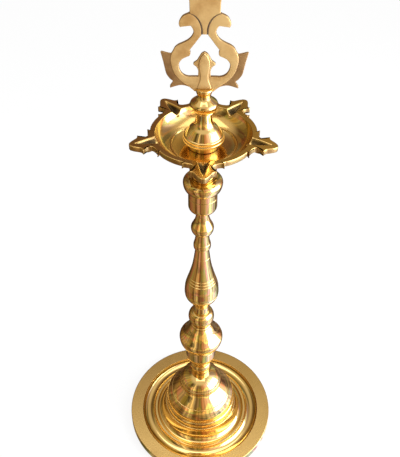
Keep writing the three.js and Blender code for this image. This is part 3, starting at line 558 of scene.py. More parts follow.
# Stem. One long turning, polished on the lathe: a foot band, the great bulb, a collar, a ball, a vase
# cut with lines, a ring, a small ball and the upper cup. A brass stud joins it to the pedestal.
STEM_BAND_RADIUS = 27
STEM_BAND_TOP = 10
BULB_MIDDLE = 30.5
BULB_TOP = 60.5
COLLAR_RADIUS = 17.6
COLLAR_TOP = 66.5
LOWER_NECK_RADIUS = 14.8
BALL_FOOT = 71.5
BALL_RADIUS = 21.9
VASE_FOOT = 98.5
VASE_FOOT_RADIUS = 13.6
VASE_RADIUS = 27.8
VASE_MIDDLE = 147.5
VASE_TOP = 246.5
VASE_NECK_RADIUS = 10.5
VASE_GROOVES = (178, 183.4, 188.8)
VASE_GROOVE_WIDTH = 2.4
VASE_GROOVE_DEPTH = 1.0
VASE_FINE_LINES = (146, 229)
VASE_LINE_WIDTH = 1.2
VASE_LINE_DEPTH = 0.4
RING_RADIUS = 13.5
RING_TOP = 259.5
SMALL_BALL_FOOT = 278.5
SMALL_BALL_MIDDLE = 290.3
SMALL_BALL_RADIUS = 17.2
SMALL_BALL_TOP = 314
TOP_NECK_RADIUS = 9.7
UPPER_CUP_FOOT = 324
UPPER_CUP_RADIUS = 21
UPPER_CUP_WALL = 333.7
BOWL_SOCKET = 8.3

stem_foot, stem_height, stem_radius = span("stem")


def swelling(neck_radius, full_radius, bottom, top, shares):
    """A swelling side: shares of the way from a neck's radius out to the full radius, each at a share
    of the way from the bottom to the top."""
    out, up = np.array(shares, float).T
    radius = neck_radius + (full_radius - neck_radius) * out
    return np.stack([radius, bottom + (top - bottom) * up], axis=1)


bulb_shoulder = smooth(swelling(COLLAR_RADIUS - 1, stem_radius, BULB_MIDDLE, BULB_TOP, [
    (1, 0), (0.965, 0.09), (0.87, 0.18), (0.73, 0.27), (0.58, 0.38), (0.46, 0.5), (0.37, 0.61),
    (0.28, 0.73), (0.17, 0.86), (0, 1)]))
vase = smooth(np.vstack([
    swelling(VASE_FOOT_RADIUS, VASE_RADIUS, VASE_FOOT, VASE_MIDDLE,
             [(0, 0), (0.01, 0.2), (0.12, 0.43), (0.52, 0.66), (0.87, 0.83), (1, 1)]),
    swelling(VASE_NECK_RADIUS, VASE_RADIUS, VASE_MIDDLE, VASE_TOP,
             [(0.985, 0.09), (0.9, 0.21), (0.49, 0.47), (0.23, 0.68), (0, 1)]),
]))
cone = smooth([(RING_RADIUS - 1, RING_TOP), (TOP_NECK_RADIUS + 1.4, RING_TOP + 7.6),
               (TOP_NECK_RADIUS, SMALL_BALL_FOOT)])
small_ball = smooth(swelling(TOP_NECK_RADIUS, SMALL_BALL_RADIUS, SMALL_BALL_MIDDLE, SMALL_BALL_TOP, [
    (1, 0), (0.97, 0.09), (0.86, 0.2), (0.65, 0.34), (0.44, 0.48), (0.27, 0.62), (0.13, 0.78), (0, 1)]))
stem_outline = rounded([
    socket(STEM_SOCKET, 0, SOCKET_DEPTH),
    (STEM_BAND_RADIUS, 0),
    quarter((STEM_BAND_RADIUS, STEM_BAND_TOP), (stem_radius, STEM_BAND_TOP), (stem_radius, BULB_MIDDLE)),
    bulb_shoulder,
    bead((COLLAR_RADIUS - 1, BULB_TOP), COLLAR_RADIUS, (LOWER_NECK_RADIUS, COLLAR_TOP)),
    bead((LOWER_NECK_RADIUS, BALL_FOOT), BALL_RADIUS, (VASE_FOOT_RADIUS, VASE_FOOT)),
    vase,
    bead((VASE_NECK_RADIUS, VASE_TOP), RING_RADIUS, (RING_RADIUS - 1, RING_TOP)),
    cone,
    quarter((TOP_NECK_RADIUS, SMALL_BALL_FOOT), (SMALL_BALL_RADIUS, SMALL_BALL_FOOT),
            (SMALL_BALL_RADIUS, SMALL_BALL_MIDDLE)),
    small_ball,
    quarter((TOP_NECK_RADIUS, UPPER_CUP_FOOT), (UPPER_CUP_RADIUS, UPPER_CUP_FOOT),
            (UPPER_CUP_RADIUS, UPPER_CUP_WALL)),
    (UPPER_CUP_RADIUS, stem_height),
    socket(BOWL_SOCKET, stem_height, -SOCKET_DEPTH)[::-1],
], 0.7)
groove_marks = [(VASE_RADIUS - 3, height) for height in VASE_GROOVES]
stem_outline = incised(stem_outline, groove_marks, VASE_GROOVE_WIDTH, VASE_GROOVE_DEPTH)
line_marks = [(VASE_RADIUS, VASE_FINE_LINES[0]), (VASE_NECK_RADIUS + 1, VASE_FINE_LINES[1])]
stem_outline = incised(stem_outline, line_marks, VASE_LINE_WIDTH, VASE_LINE_DEPTH)
stem = turned("stem_turning", stem_outline, stem_foot)
dress(stem, "stem", "stem")

thread_brass = brass("thread_brass", (0.78, 0.58, 0.26), (0.5, 0.33, 0.12), 0.3, 0.15)


def dress_stud(node, name, body):
    """The threaded stud of a node, which turns and rises with the length above it."""
    foot, height, radius = span(node)
    dress(threaded(name, radius, foot, height), node, body, thread_brass)


dress_stud("stem_stud", "stem_screw", "stem")


# Bowl knop. A short turning between the stem's cup and the bowl, with a band, a flattened bulb and a
# collar. The bowl's stud runs right through it.
KNOP_BAND_TOP = 11
KNOP_MIDDLE = 25
KNOP_SHOULDER = 34
KNOP_COLLAR_RADIUS = 15.5

knop_foot, knop_height, knop_radius = span("bowl_knop")
knop_outline = rounded([
    (BOWL_SOCKET, knop_height / 2),
    (BOWL_SOCKET, 0),
    (UPPER_CUP_RADIUS, 0),
    quarter((UPPER_CUP_RADIUS, KNOP_BAND_TOP), (knop_radius, KNOP_BAND_TOP), (knop_radius, KNOP_MIDDLE)),
    quarter((knop_radius, KNOP_MIDDLE), (knop_radius, KNOP_SHOULDER),
            (KNOP_COLLAR_RADIUS - 1, KNOP_SHOULDER)),
    bead((KNOP_COLLAR_RADIUS - 1, KNOP_SHOULDER), KNOP_COLLAR_RADIUS,
         (KNOP_COLLAR_RADIUS - 1, knop_height)),
    (BOWL_SOCKET, knop_height),
    (BOWL_SOCKET, knop_height / 2),
], 0.6)[:-1]
knop = turned("knop_turning", knop_outline, knop_foot, ring=True)
dress(knop, "bowl_knop", "bowl")
dress_stud("bowl_stud", "bowl_screw", "bowl")


# Oil bowl. One casting: a solid foot, a dished bowl turned and polished inside, and a thick flange
# whose edge is drawn out into five barbed spouts, each with a hollow for the wick and a keel below.
BOWL_FOOT_RADIUS = 14.5
BOWL_STEM_RADIUS = 18.9
BOWL_STEM_HEIGHT = 24
BOWL_FLOOR_HEIGHT = 46
BOWL_FLOOR_RADIUS = 45
BOWL_WALL = 4.5
BOWL_RIM_RADIUS = 63.9
BOWL_BODY_RADIUS = BOWL_RIM_RADIUS + 2.6
FLANGE_RADIUS = 70.8
FLANGE_THICKNESS = 7.5
FLANGE_EDGE = 0.8
SPOUTS = 5
SPOUT_TURN = 2 * math.pi / SPOUTS
SPOUT_REACH = 99.5
GROOVE_HALF_WIDTH = 8
GROOVE_DEPTH = 6.8
GROOVE_INNER = 50
GROOVE_OUTER = 92.5
KEEL_LENGTH = 40
KEEL_HALF_WIDTH = 10
KEEL_DEPTH = 6.5
KEEL_SET_BACK = 3
KEEL_BEDDED = 0.4
SPINDLE_SOCKET = 6.3
# Painted shade, with lamp smoke, in the wick hollows: where it starts, its colour and its roughness.
SMOKE_SHADE_RADIUS = 63
SMOKE_SHADE_COLOUR = (0.07, 0.045, 0.02)
SMOKE_SHADE_ROUGHNESS = 0.6

bowl_foot, rim = span("oil_bowl")[:2]
bowl_top = bowl_foot + rim
flange_under = rim - FLANGE_THICKNESS

# The turned ring round the bowl's floor, out and up from the floor's edge.
floor_ring = np.array([(0, 3), (-0.6, 2.2), (-1.2, 3.2), (-2.2, 3.3), (-3.2, 1.9), (-5, 1.2)])

# Half a spout's edge from its root barb to its tip, as distance across from its middle line and
# distance out from the lamp's axis, and for each point how far across its ruling meets the rim.
spout_edge = [
    (24.0, 66.0), (24.8, 67.4), (26.3, 69.0), (26.3, 69.0), (22.8, 68.4), (17.6, 69.6), (13.2, 72.0),
    (11.2, 75.8), (12.3, 80.4), (16.3, 84.9), (16.3, 84.9), (12.8, 86.2), (10.6, 88.6), (9.2, 91.0),
    (6.4, 95.2), (3.2, 98.6), (0.0, SPOUT_REACH),
]
spout_root = [22.2, 21.4, 20.2, 19.8, 17.4, 13.6, 9.6, 6.8, 5.4, 4.2, 4.1, 3.4, 2.7, 2.1, 1.4, 0.7, 0.0]


def flange_columns(steps=3, between=8):
    """The flange's edge, and the angle at which each point's ruling meets the rim. Each fifth is the
    two mirrored halves of a spout, then an arc of the flange's own circle to the next."""
    half = smooth(spout_edge, steps)
    root = smooth(np.stack([spout_root, spout_root], axis=1), steps)[:, 0]
    across = np.concatenate([half[:, 0], -half[-2::-1, 0]])
    out = np.concatenate([half[:, 1], half[-2::-1, 1]])
    angle = np.arcsin(np.concatenate([root, -root[-2::-1]]) / BOWL_RIM_RADIUS)
    corner = np.arctan2(across[0], out[0])
    on = np.linspace(0, 1, between + 2)[1:-1]
    lift = np.minimum(1, 4 * np.minimum(on, 1 - on))
    arc_radius = np.hypot(across[0], out[0]) * (1 - lift) + FLANGE_RADIUS * lift
    radius = np.concatenate([np.hypot(across, out), arc_radius])
    bearing = np.concatenate([np.arctan2(across, out), -corner - (SPOUT_TURN - 2 * corner) * on])
    angle = np.concatenate([angle, angle[-1] - (SPOUT_TURN + 2 * angle[-1]) * on])
    turns = -SPOUT_TURN * np.arange(SPOUTS)[:, None]
    edge = np.stack([radius * np.sin(bearing + turns), -radius * np.cos(bearing + turns)], axis=-1)
    return edge.reshape(-1, 2), (angle + turns).reshape(-1)


def wick_hollow(plan):
    """Depth of the wick hollows below the rim: along each spout a pointed leaf that runs out to nothing
    at both ends. Across it the depth is one less the square of the share across, to a power."""
    off = (np.arctan2(plan[:, 0], -plan[:, 1]) + SPOUT_TURN / 2) % SPOUT_TURN - SPOUT_TURN / 2
    radius = np.hypot(*plan.T)
    across, out = radius * np.sin(off), radius * np.cos(off)
    along = np.clip((GROOVE_OUTER - out) / (GROOVE_OUTER - BOWL_RIM_RADIUS), 0, 1)
    inner = np.clip((out - GROOVE_INNER) / (BOWL_RIM_RADIUS - GROOVE_INNER), 0, 1)
    width = GROOVE_HALF_WIDTH * along**0.8 * inner**0.5 + 1e-6
    share_across = np.clip(abs(across) / width, 0, 1)
    return GROOVE_DEPTH * np.minimum(1, 1.5 * along) * inner**0.5 * (1 - share_across**2)**1.3


def drawn_in(edge, distance):
    """The edge moved towards the bowl by a distance, along the mean of the normals of its two sides."""
    way = np.roll(edge, -1, axis=0) - np.roll(edge, 1, axis=0)
    normal = np.stack([way[:, 1], -way[:, 0]], axis=1)
    return edge + normal / np.maximum(np.linalg.norm(normal, axis=1, keepdims=True), 1e-9) * distance


def make_bowl_skin():
    """The bowl's rows from the foot's socket out over the body, the flange's underside, its edge, its
    top and down the well to the floor's socket. Every row has the flange's columns."""
    edge, angle = flange_columns()
    ring = np.stack([np.sin(angle), -np.cos(angle)], axis=1)
    flat = drawn_in(edge, FLANGE_EDGE)
    body = rounded([
        socket(BOWL_SOCKET, 0, SOCKET_DEPTH),
        quarter((BOWL_FOOT_RADIUS, 0), (BOWL_STEM_RADIUS, 0),
                (BOWL_STEM_RADIUS, BOWL_STEM_RADIUS - BOWL_FOOT_RADIUS), 8),
        smooth([(BOWL_STEM_RADIUS, BOWL_STEM_HEIGHT), (BOWL_STEM_RADIUS + 9, BOWL_STEM_HEIGHT + 8),
                (BOWL_FLOOR_RADIUS + 2, BOWL_FLOOR_HEIGHT - BOWL_WALL),
                (BOWL_RIM_RADIUS - 3, flange_under - 7), (BOWL_BODY_RADIUS, flange_under)], 8),
    ], 0.6)
    rows = [(ring * radius, height) for radius, height in body]
    body_top = ring * BOWL_BODY_RADIUS
    for t in np.linspace(0, 1, 9)[1:]:
        rows.append((body_top + (flat - body_top) * t, flange_under))
    turns = np.linspace(0, math.pi / 2, 5)
    for face, way, face_turns in ((flange_under, 1, turns[1:]), (rim, -1, turns[::-1])):
        for turn in face_turns:
            rows.append((flat + (edge - flat) * math.sin(turn),
                         face + way * FLANGE_EDGE * (1 - math.cos(turn))))
    well = bow((BOWL_RIM_RADIUS, rim), (BOWL_RIM_RADIUS - 5, BOWL_FLOOR_HEIGHT + 7),
               floor_ring[0] + (BOWL_FLOOR_RADIUS, BOWL_FLOOR_HEIGHT), 24)
    rim_height = rim - wick_hollow(ring * BOWL_RIM_RADIUS)
    inner_edge = ring * np.interp(rim_height, well[::-1, 1], well[::-1, 0])[:, None]
    for t in np.linspace(1, 0, 30)[1:-1]:
        plan = inner_edge + (flat - inner_edge) * t
        rows.append((plan, rim - wick_hollow(plan)))
    reach = reach_along(well)
    start = np.interp(rim_height, well[::-1, 1], reach[::-1])
    for t in np.linspace(0, 1, 26):
        at = start * (1 - t) + reach[-1] * t
        rows.append((ring * np.interp(at, reach, well[:, 0])[:, None], np.interp(at, reach, well[:, 1])))
    floor = rounded([
        floor_ring + (BOWL_FLOOR_RADIUS, BOWL_FLOOR_HEIGHT),
        (BOWL_FLOOR_RADIUS / 2, BOWL_FLOOR_HEIGHT),
        socket(SPINDLE_SOCKET, BOWL_FLOOR_HEIGHT, -SOCKET_DEPTH)[::-1],
    ], 0.6)[1:]
    rows += [(ring * radius, height) for radius, height in floor]
    grid = [np.column_stack([plan, np.broadcast_to(height, len(plan))]) for plan, height in rows]
    return skin("bowl_casting", np.stack(grid) + (0, 0, bowl_foot))


def make_keel(turn, steps=24, columns=24):
    """The keel under one spout: a leaf whose half width and depth are sines along its length, with a
    flat top just inside the flange and a half-ellipse below."""
    t = np.linspace(0, math.pi, steps + 1)[:, None]
    around = np.linspace(0, 2 * math.pi, columns, endpoint=False)
    out = SPOUT_REACH - KEEL_SET_BACK - KEEL_LENGTH * (1 - t / math.pi) + 0 * around
    across = KEEL_HALF_WIDTH * np.sin(t) * np.cos(around)
    rise = np.minimum(KEEL_BEDDED, KEEL_DEPTH * np.sin(t) * np.sin(around))
    x = out * math.sin(turn) + across * math.cos(turn)
    y = -out * math.cos(turn) + across * math.sin(turn)
    return skin("keel", np.stack([x, y, bowl_foot + flange_under + rise], axis=-1))


def joined(name, parts):
    """The parts' meshes as one piece."""
    work = bmesh.new()
    for part in parts:
        work.from_mesh(part.data)
        bpy.data.objects.remove(part)
    mesh = bpy.data.meshes.new(name)
    work.to_mesh(mesh)
    work.free()
    mesh.shade_smooth()
    return linked(name, mesh)


def smoke_and_shade(material):
    """Painted shade and lamp smoke in the wick hollows: a rough dark brown over what faces up beyond the
    rim's radius and below its top, and about half as much over what doesn't face up, patchy by a noise."""
    tree = material.node_tree
    shader = tree.nodes["Principled BSDF"]
    spot = add(tree, "ShaderNodeTexCoord").outputs
    share = 1.0
    for value, low, high, least in (
            (from_axis(tree, spot["Object"]), SMOKE_SHADE_RADIUS * MM, (SMOKE_SHADE_RADIUS + 2) * MM, 0),
            (upward(tree, spot["Object"]), (bowl_top - 0.5) * MM, (bowl_top - 2.5) * MM, 0),
            (upward(tree, spot["Normal"]), 0.15, 0.4, 0.45),
            (noise(tree, spot["Object"], 90.0, 3.0), 0.3, 0.6, 0.8)):
        share = calc(tree, "MULTIPLY", share, ranged(tree, value, low, high, least))
    for label, kind, value in (("Base Color", "RGBA", (*SMOKE_SHADE_COLOUR, 1)),
                               ("Roughness", "FLOAT", SMOKE_SHADE_ROUGHNESS)):
        under = shader.inputs[label].links[0].from_socket
        feed(shader, {label: mix(tree, share, under, value, kind)})


bowl_parts = [make_bowl_skin()]
for spout in range(SPOUTS):
    bowl_parts.append(make_keel(SPOUT_TURN * spout))
bowl = joined("bowl_casting", bowl_parts)
bowl_brass = brass("bowl_brass", (0.74, 0.50, 0.18), (0.38, 0.20, 0.06), 0.11, 0.10)
# Paints shade, with lamp smoke, into the wick hollows.
smoke_and_shade(bowl_brass)
dress(bowl, "oil_bowl", "bowl", bowl_brass)


# Spindle. A turning that stands in the bowl on its own stud: a foot, two rings, a hollow-sided bell,
# a lip, a ball and a top neck for the crest's ferrule.
SPINDLE_FOOT_RADIUS = 21
SPINDLE_FOOT_TOP = 9
SPINDLE_RING_HEIGHT = 5
SPINDLE_RING_STEP = 1.6
SPINDLE_BELL_TOP = 51
SPINDLE_NECK_RADIUS = 9.3
SPINDLE_LIP_RADIUS = 13.2
SPINDLE_BALL_FOOT = 54
SPINDLE_BALL_RADIUS = 17.8
SPINDLE_BALL_MIDDLE = 63.5
SPINDLE_BALL_TOP = 73
SPINDLE_TOP_RADIUS = 8.5
CREST_SOCKET = 4.3

spindle_foot, spindle_height, spindle_radius = span("spindle")
ring_one = SPINDLE_FOOT_TOP + SPINDLE_RING_HEIGHT
ring_two = ring_one + SPINDLE_RING_HEIGHT
spindle_outline = rounded([
    socket(SPINDLE_SOCKET, 0, SOCKET_DEPTH),
    (SPINDLE_FOOT_RADIUS, 0),
    bead((SPINDLE_FOOT_RADIUS, SPINDLE_FOOT_TOP), spindle_radius,
         (spindle_radius - SPINDLE_RING_STEP, ring_one)),
    bead((spindle_radius - SPINDLE_RING_STEP, ring_one), spindle_radius - SPINDLE_RING_STEP / 2,
         (spindle_radius - 2 * SPINDLE_RING_STEP, ring_two)),
    smooth([(spindle_radius - 2 * SPINDLE_RING_STEP, ring_two),
            ((spindle_radius + SPINDLE_NECK_RADIUS) / 2, ring_two + 9),
            (SPINDLE_NECK_RADIUS + 3, (ring_two + SPINDLE_BELL_TOP) / 2),
            (SPINDLE_NECK_RADIUS, SPINDLE_BELL_TOP)]),
    bead((SPINDLE_NECK_RADIUS, SPINDLE_BELL_TOP), SPINDLE_LIP_RADIUS,
         (SPINDLE_LIP_RADIUS - 1, SPINDLE_BALL_FOOT)),
    quarter((SPINDLE_LIP_RADIUS - 1, SPINDLE_BALL_FOOT), (SPINDLE_BALL_RADIUS, SPINDLE_BALL_FOOT),
            (SPINDLE_BALL_RADIUS, SPINDLE_BALL_MIDDLE)),
    smooth(swelling(SPINDLE_TOP_RADIUS, SPINDLE_BALL_RADIUS, SPINDLE_BALL_MIDDLE, SPINDLE_BALL_TOP, [
        (1, 0), (0.965, 0.12), (0.84, 0.29), (0.5, 0.56), (0.16, 0.82), (0, 1)])),
    (SPINDLE_TOP_RADIUS, spindle_height),
    socket(CREST_SOCKET, spindle_height, -SOCKET_DEPTH)[::-1],
], 0.5)
spindle = turned("spindle_turning", spindle_outline, spindle_foot)
dress(spindle, "spindle", "spindle")
dress_stud("spindle_stud", "spindle_screw", "spindle")


# Ferrule. A small bright cup that flares to a lip, with a slot across its top that grips the crest's
# foot. It is tapped from below for the crest's stud.
FERRULE_SOCKET_DEPTH = 4
FERRULE_LIP_HEIGHT = 3.6
FERRULE_LIP_PROUD = 0.9

ferrule_foot, ferrule_height, ferrule_radius = span("crest_ferrule")
flare_radius = ferrule_radius - FERRULE_LIP_PROUD
flare_height = ferrule_height - FERRULE_LIP_HEIGHT
ferrule_outline = rounded([
    socket(CREST_SOCKET, 0, FERRULE_SOCKET_DEPTH),
    bow((SPINDLE_TOP_RADIUS, 0), (SPINDLE_TOP_RADIUS + 1.6, 3), (flare_radius, flare_height)),
    bead((flare_radius, flare_height), ferrule_radius, (flare_radius, ferrule_height)),
    (0, ferrule_height),
], 0.4)
ferrule = turned("ferrule", ferrule_outline, ferrule_foot, columns=96)
dress(ferrule, "crest_ferrule", "crest")
dress_stud("crest_stud", "crest_screw", "crest")


# Crest. A flat casting, sawn, filed and sanded: two scrolled arms, a bud in the window between them, a
# flame-shaped plume above and a thinner spiked fringe behind the arms. Its faces are pale and its sides
# brown; the fringe is brown as painted shade, where it is set back behind the arms. A dark strip of
# painted shade, with soot, lies in the lines sawn between the plume and the arms.
CREST_THICKNESS = 4.6
FRINGE_THICKNESS = 3
BUD_SUNK = 0.5
CLUB_PROUD = 0.9
CLUB_EDGE = 1.3
CREST_EDGE = 0.7
CREST_CROWN = 0.15
CREST_FACE = 0.8
# The strip of painted shade, with soot, that lies along each sawn line.
SOOT_SHADE_WIDTH = 2.0
SOOT_SHADE_PROUD = 0.12
SOOT_SHADE_EDGE = 0.1

# The crest's points are out from its middle and up from the foot of its ferrule.
crest_foot, plate_height = span("crest")[:2]
foot = crest_foot - ferrule_foot
top = foot + plate_height


def band(one_edge, other_edge, thickness, bevel, across=7, steps=6):
    """A strip of plate between two edges with matching points: across it, the place runs evenly from
    one edge to the other, crowned by a sine, and a quarter round takes it down to the sides."""
    one, other = smooth(one_edge, steps), smooth(other_edge, steps)
    width = np.linalg.norm(other - one, axis=1, keepdims=True)
    over = (other - one) / np.maximum(width, 1e-6)
    cut = np.minimum(bevel, 0.45 * width)
    half = thickness / 2
    turns = np.linspace(0, math.pi / 2, 4)[1:]
    rows = []
    for face, near, far, way in ((-1, one, other, over), (1, other, one, -over)):
        for u in np.linspace(0, 1, across):
            rows.append((near + way * (cut + (width - 2 * cut) * u),
                         face * (half + CREST_CROWN * math.sin(math.pi * u))))
        for end, end_turns in ((face, turns), (-face, turns[::-1])):
            for turn in end_turns:
                rows.append((far - way * cut * (1 - math.sin(turn)),
                             end * (half - bevel * (1 - math.cos(turn)))))
    grid = np.stack([np.column_stack([plan[:, 0], np.full(len(plan), depth), plan[:, 1] + ferrule_foot])
                     for plan, depth in rows], axis=1)
    ends = [np.broadcast_to(grid[k].mean(axis=0), grid[k].shape)[None] for k in (0, -1)]
    return skin("strip", np.concatenate([ends[0], grid, ends[1]]))


def mirror(edge, side):
    """An edge on its own side of the crest: 1 is the right side and -1 the left."""
    return np.array(edge, float) * (side, 1)


arm_outer = [
    (0, foot), (11.5, foot), (11.5, foot), (19, 12), (27.2, 18.4), (32.6, 24), (36.5, 30), (39, 37),
    (40.6, 46), (39.6, 54), (36.5, 60.4), (35.2, 62.9), (33.2, 64.9), (30.2, 67), (26.6, 68.7),
    (20.3, 72.1), (15.8, 76.3), (13.2, 82), (14.6, 87.5), (18, 91), (23, 91), (28.8, 88.6), (28.8, 88.6),
    (30, 92), (28.9, 96.2), (25.3, 101.4), (17.8, 105),
]
sawn_line = [(3.3, 80), (3.3, 82.5), (3.4, 86.4), (4, 89.4), (5, 92.6), (6.6, 96), (8.8, 99.2),
             (11.4, 101.7), (14.4, 103.6), (17.6, 104.9)]
arm_inner = [
    (0, 25.6), (8, 25.6), (9, 25.6), (14, 25.6), (20, 25.6), (25.4, 28), (29, 32.6), (30.6, 38.4),
    (30.1, 43.4), (26.7, 48.2), (21.5, 51.2), (17.8, 53), (16.7, 56.6), (17.6, 60.2), (17.6, 60.2),
    (12.2, 67.4), (7.5, 74),
] + sawn_line
plume_side = sawn_line + sawn_line[-1:] + [
    (17.8, 118), (19.3, 131), (16.8, 147), (9.9, 166), (4.6, 177), (0, top)]
bud_side = [(11.3, foot), (10.6, 11), (9.2, 17), (8, 23), (7.6, 28), (7.6, 33.4), (9.6, 38.2),
            (13.0, 41), (13.3, 42.4), (12.6, 43.9), (9, 46.6), (6.6, 50.8), (3.6, 55.6), (0, 57.7)]
club_side = [(8.4, 6), (8.9, 9), (8.3, 13), (6.8, 17), (5.7, 21), (5.2, 25), (5.4, 30), (6.2, 35),
             (6.9, 40), (6.7, 45), (5.4, 49.5), (3.2, 54), (0, 56.6)]
fringe_outer = [
    (11.5, foot), (17.5, 10.4), (24, 12.9), (31, 13.1), (41.8, 9.6), (41.8, 9.6), (41.8, 12.6),
    (38.4, 18.2), (41.8, 22), (46, 28.4), (48, 37.4), (49.5, 45.4), (52, 56), (52, 56), (51, 57.5),
    (42.3, 54.6), (39.4, 55.6), (36.5, 60.4),
]
fringe_inner = [
    (11.5, 9), (15, 13), (20, 17), (25, 21), (31, 25.5), (31, 25.5), (31, 25.5), (33.5, 29.5),
    (35, 33), (36, 36.5), (37.3, 41), (38, 46), (38, 51), (38, 51), (37.2, 53), (36.6, 55),
    (36.2, 57.5), (35.1, 60),
]
crest_parts = []
for side in (1, -1):
    for inner, outer, thickness in ((arm_inner, arm_outer, CREST_THICKNESS),
                                    (fringe_inner, fringe_outer, FRINGE_THICKNESS)):
        crest_parts.append(band(mirror(inner, side), mirror(outer, side), thickness, CREST_EDGE))
for edge, thickness, bevel, across in (
        (plume_side, CREST_THICKNESS, CREST_EDGE, 25),
        (bud_side, CREST_THICKNESS - 2 * BUD_SUNK, CREST_EDGE, 13),
        (club_side, CREST_THICKNESS + 2 * CLUB_PROUD, CLUB_EDGE, 13)):
    crest_parts.append(band(mirror(edge, -1), mirror(edge, 1), thickness, bevel, across))
crest = joined("crest_plate", crest_parts)
sanded_brass = brass("sanded_brass", (0.82, 0.58, 0.26), (0.50, 0.28, 0.09), 0.40, 0.12,
                     metallic=0.65, veiled=0.9)
# A darker copy of the crest's brass: brown on the sides, and painted shade on the set-back fringe.
crest_brown_and_shade = brass("crest_brown_and_shade", (0.50, 0.31, 0.14), (0.22, 0.11, 0.04), 0.35, 0.15,
                    metallic=0.75, veiled=0.9)
dress(crest, "crest", "crest", sanded_brass)
# The fringe's faces take the painted shade, and the sides take the brown.
on_shaded_fringe = abs(of_faces(crest, "center")[:, 1]) < (FRINGE_THICKNESS / 2 + 0.2) * MM
second_finish(crest, crest_brown_and_shade, (abs(of_faces(crest, "normal")[:, 1]) < CREST_FACE) | on_shaded_fringe)


def make_soot_shade():
    """Dark painted shade in a sawn line, with lamp soot and old polish packed in."""
    material, tree, shader = paint("soot_shade")
    place = add(tree, "ShaderNodeTexCoord").outputs["Object"]
    grain = noise(tree, place, 900.0, 2.0)
    feed(shader, {"Base Color": mix(tree, grain, (0.03, 0.015, 0.006, 1), (0.12, 0.06, 0.025, 1)),
                  "Roughness": 0.8})
    return material


# A dark strip of painted shade, with soot, along each sawn line between the plume and an arm.
soot_shade_parts = []
for side in (1, -1):
    edges = (mirror(np.array(sawn_line) + (across * SOOT_SHADE_WIDTH / 2, 0), side) for across in (1, -1))
    soot_shade_parts.append(band(*edges, CREST_THICKNESS + 2 * SOOT_SHADE_PROUD, SOOT_SHADE_EDGE, across=3))
soot_shade = joined("crest_soot_shade", soot_shade_parts)
soot_shade.data.materials.append(make_soot_shade())
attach(soot_shade, "crest")


# The studio, in metres. A white floor and world, soft light from a window on the right and from above,
# and a room that only the metal sees: patchy brown floor and walls with light and dark quarters, and a
# pale ceiling.
CAMERA_PLACE = (0.0, -0.680, 1.1331)
CAMERA_TILT = 42.843
CAMERA_ROLL = 0.73
CAMERA_PAN = 0.22
FOCAL_LENGTH = 49.01
FLOOR_SIZE = 30
FLOOR_SUNK = 0.0002
ROOM_RADIUS = 3.0
ROOM_FOOT = 0.0005
ROOM_FLOOR_INNER = 0.1385
ROOM_FLOOR_LEVEL = 0.6
ROOM_FLOOR_TOP = 0.4
CEILING_COLOUR = (0.85, 0.76, 0.62)
CEILING_FOOT = 2.2
CEILING_TOP = 2.8

# The room's colours by azimuth in degrees: 0 in front, 90 on the right and -90 on the left.
ROOM_COLOURS = [
    (-180, (0.20, 0.14, 0.09)), (-150, (0.14, 0.08, 0.04)), (-122, (0.20, 0.12, 0.06)),
    (-100, (0.42, 0.28, 0.15)), (-78, (0.42, 0.28, 0.14)), (-56, (0.30, 0.20, 0.09)),
    (-32, (0.80, 0.66, 0.44)), (-16, (0.32, 0.20, 0.09)), (6, (0.46, 0.32, 0.18)),
    (28, (0.80, 0.72, 0.58)), (48, (1.1, 1.2, 1.5)), (60, (2.2, 2.4, 3.0)), (85, (2.2, 2.4, 3.0)),
    (100, (1.1, 1.1, 1.3)), (118, (0.5, 0.4, 0.35)), (140, (0.36, 0.27, 0.2)), (180, (0.20, 0.14, 0.09)),
]


def make_camera():
    """The photograph's view: from above the lamp's front, tilted down, with a slight roll and pan."""
    camera = linked("camera", bpy.data.cameras.new("camera"))
    camera.data.lens = FOCAL_LENGTH
    camera.data.sensor_width = 36
    camera.matrix_world = (Matrix.Translation(CAMERA_PLACE)
                           @ Matrix.Rotation(math.radians(90 - CAMERA_TILT), 4, "X")
                           @ Matrix.Rotation(math.radians(CAMERA_PAN), 4, "Y")
                           @ Matrix.Rotation(math.radians(CAMERA_ROLL), 4, "Z"))
    bpy.context.scene.camera = camera


def seen_directly(tree):
    """1 for rays from the camera, and for those that metal or glass sends on, and otherwise 0."""
    path = add(tree, "ShaderNodeLightPath").outputs
    first = calc(tree, "MAXIMUM", path["Is Camera Ray"], path["Is Glossy Ray"])
    return calc(tree, "MAXIMUM", first, path["Is Transmission Ray"])


def make_floor():
    """A white floor that is seen as white but for a share of its own shading, which holds the lamp's
    soft shadow."""
    bpy.ops.mesh.primitive_plane_add(size=FLOOR_SIZE, location=(0, 0, -FLOOR_SUNK))
    floor = bpy.context.object
    floor.name = "floor"
    material, tree, shader = paint("white_floor")
    feed(shader, {"Base Color": (0.9, 0.9, 0.9, 1), "Roughness": 0.9, "Specular IOR Level": 0.0})
    white = add(tree, "ShaderNodeEmission", {"Color": (1, 1, 1, 1), "Strength": 1.0})
    share = calc(tree, "MULTIPLY", seen_directly(tree), 0.8)
    mixed = add(tree, "ShaderNodeMixShader", {0: share, 1: shader.outputs[0], 2: white.outputs[0]})
    feed(tree.nodes["Material Output"], {"Surface": mixed.outputs[0]})
    floor.data.materials.append(material)


def make_world():
    """White where it is seen, and a plain level of white light everywhere else."""
    world = bpy.data.worlds.new("studio")
    bpy.context.scene.world = world
    world.use_nodes = True
    tree = world.node_tree
    feed(tree.nodes["Background"], {"Color": (1, 1, 1, 1),
                                    "Strength": ranged(tree, seen_directly(tree), 0, 1, 0.9, 1.0)})


def make_lamp(name, place, aim, size, power):
    """A square area lamp at a place, aimed at a point."""
    data = bpy.data.lights.new(name, "AREA")
    data.shape = "RECTANGLE"
    data.size, data.size_y = size
    data.energy = power
    lamp = linked(name, data)
    lamp.location = place
    lamp.rotation_euler = Vector(np.subtract(aim, place)).to_track_quat("-Z", "Y").to_euler()
    lamp.visible_camera = False


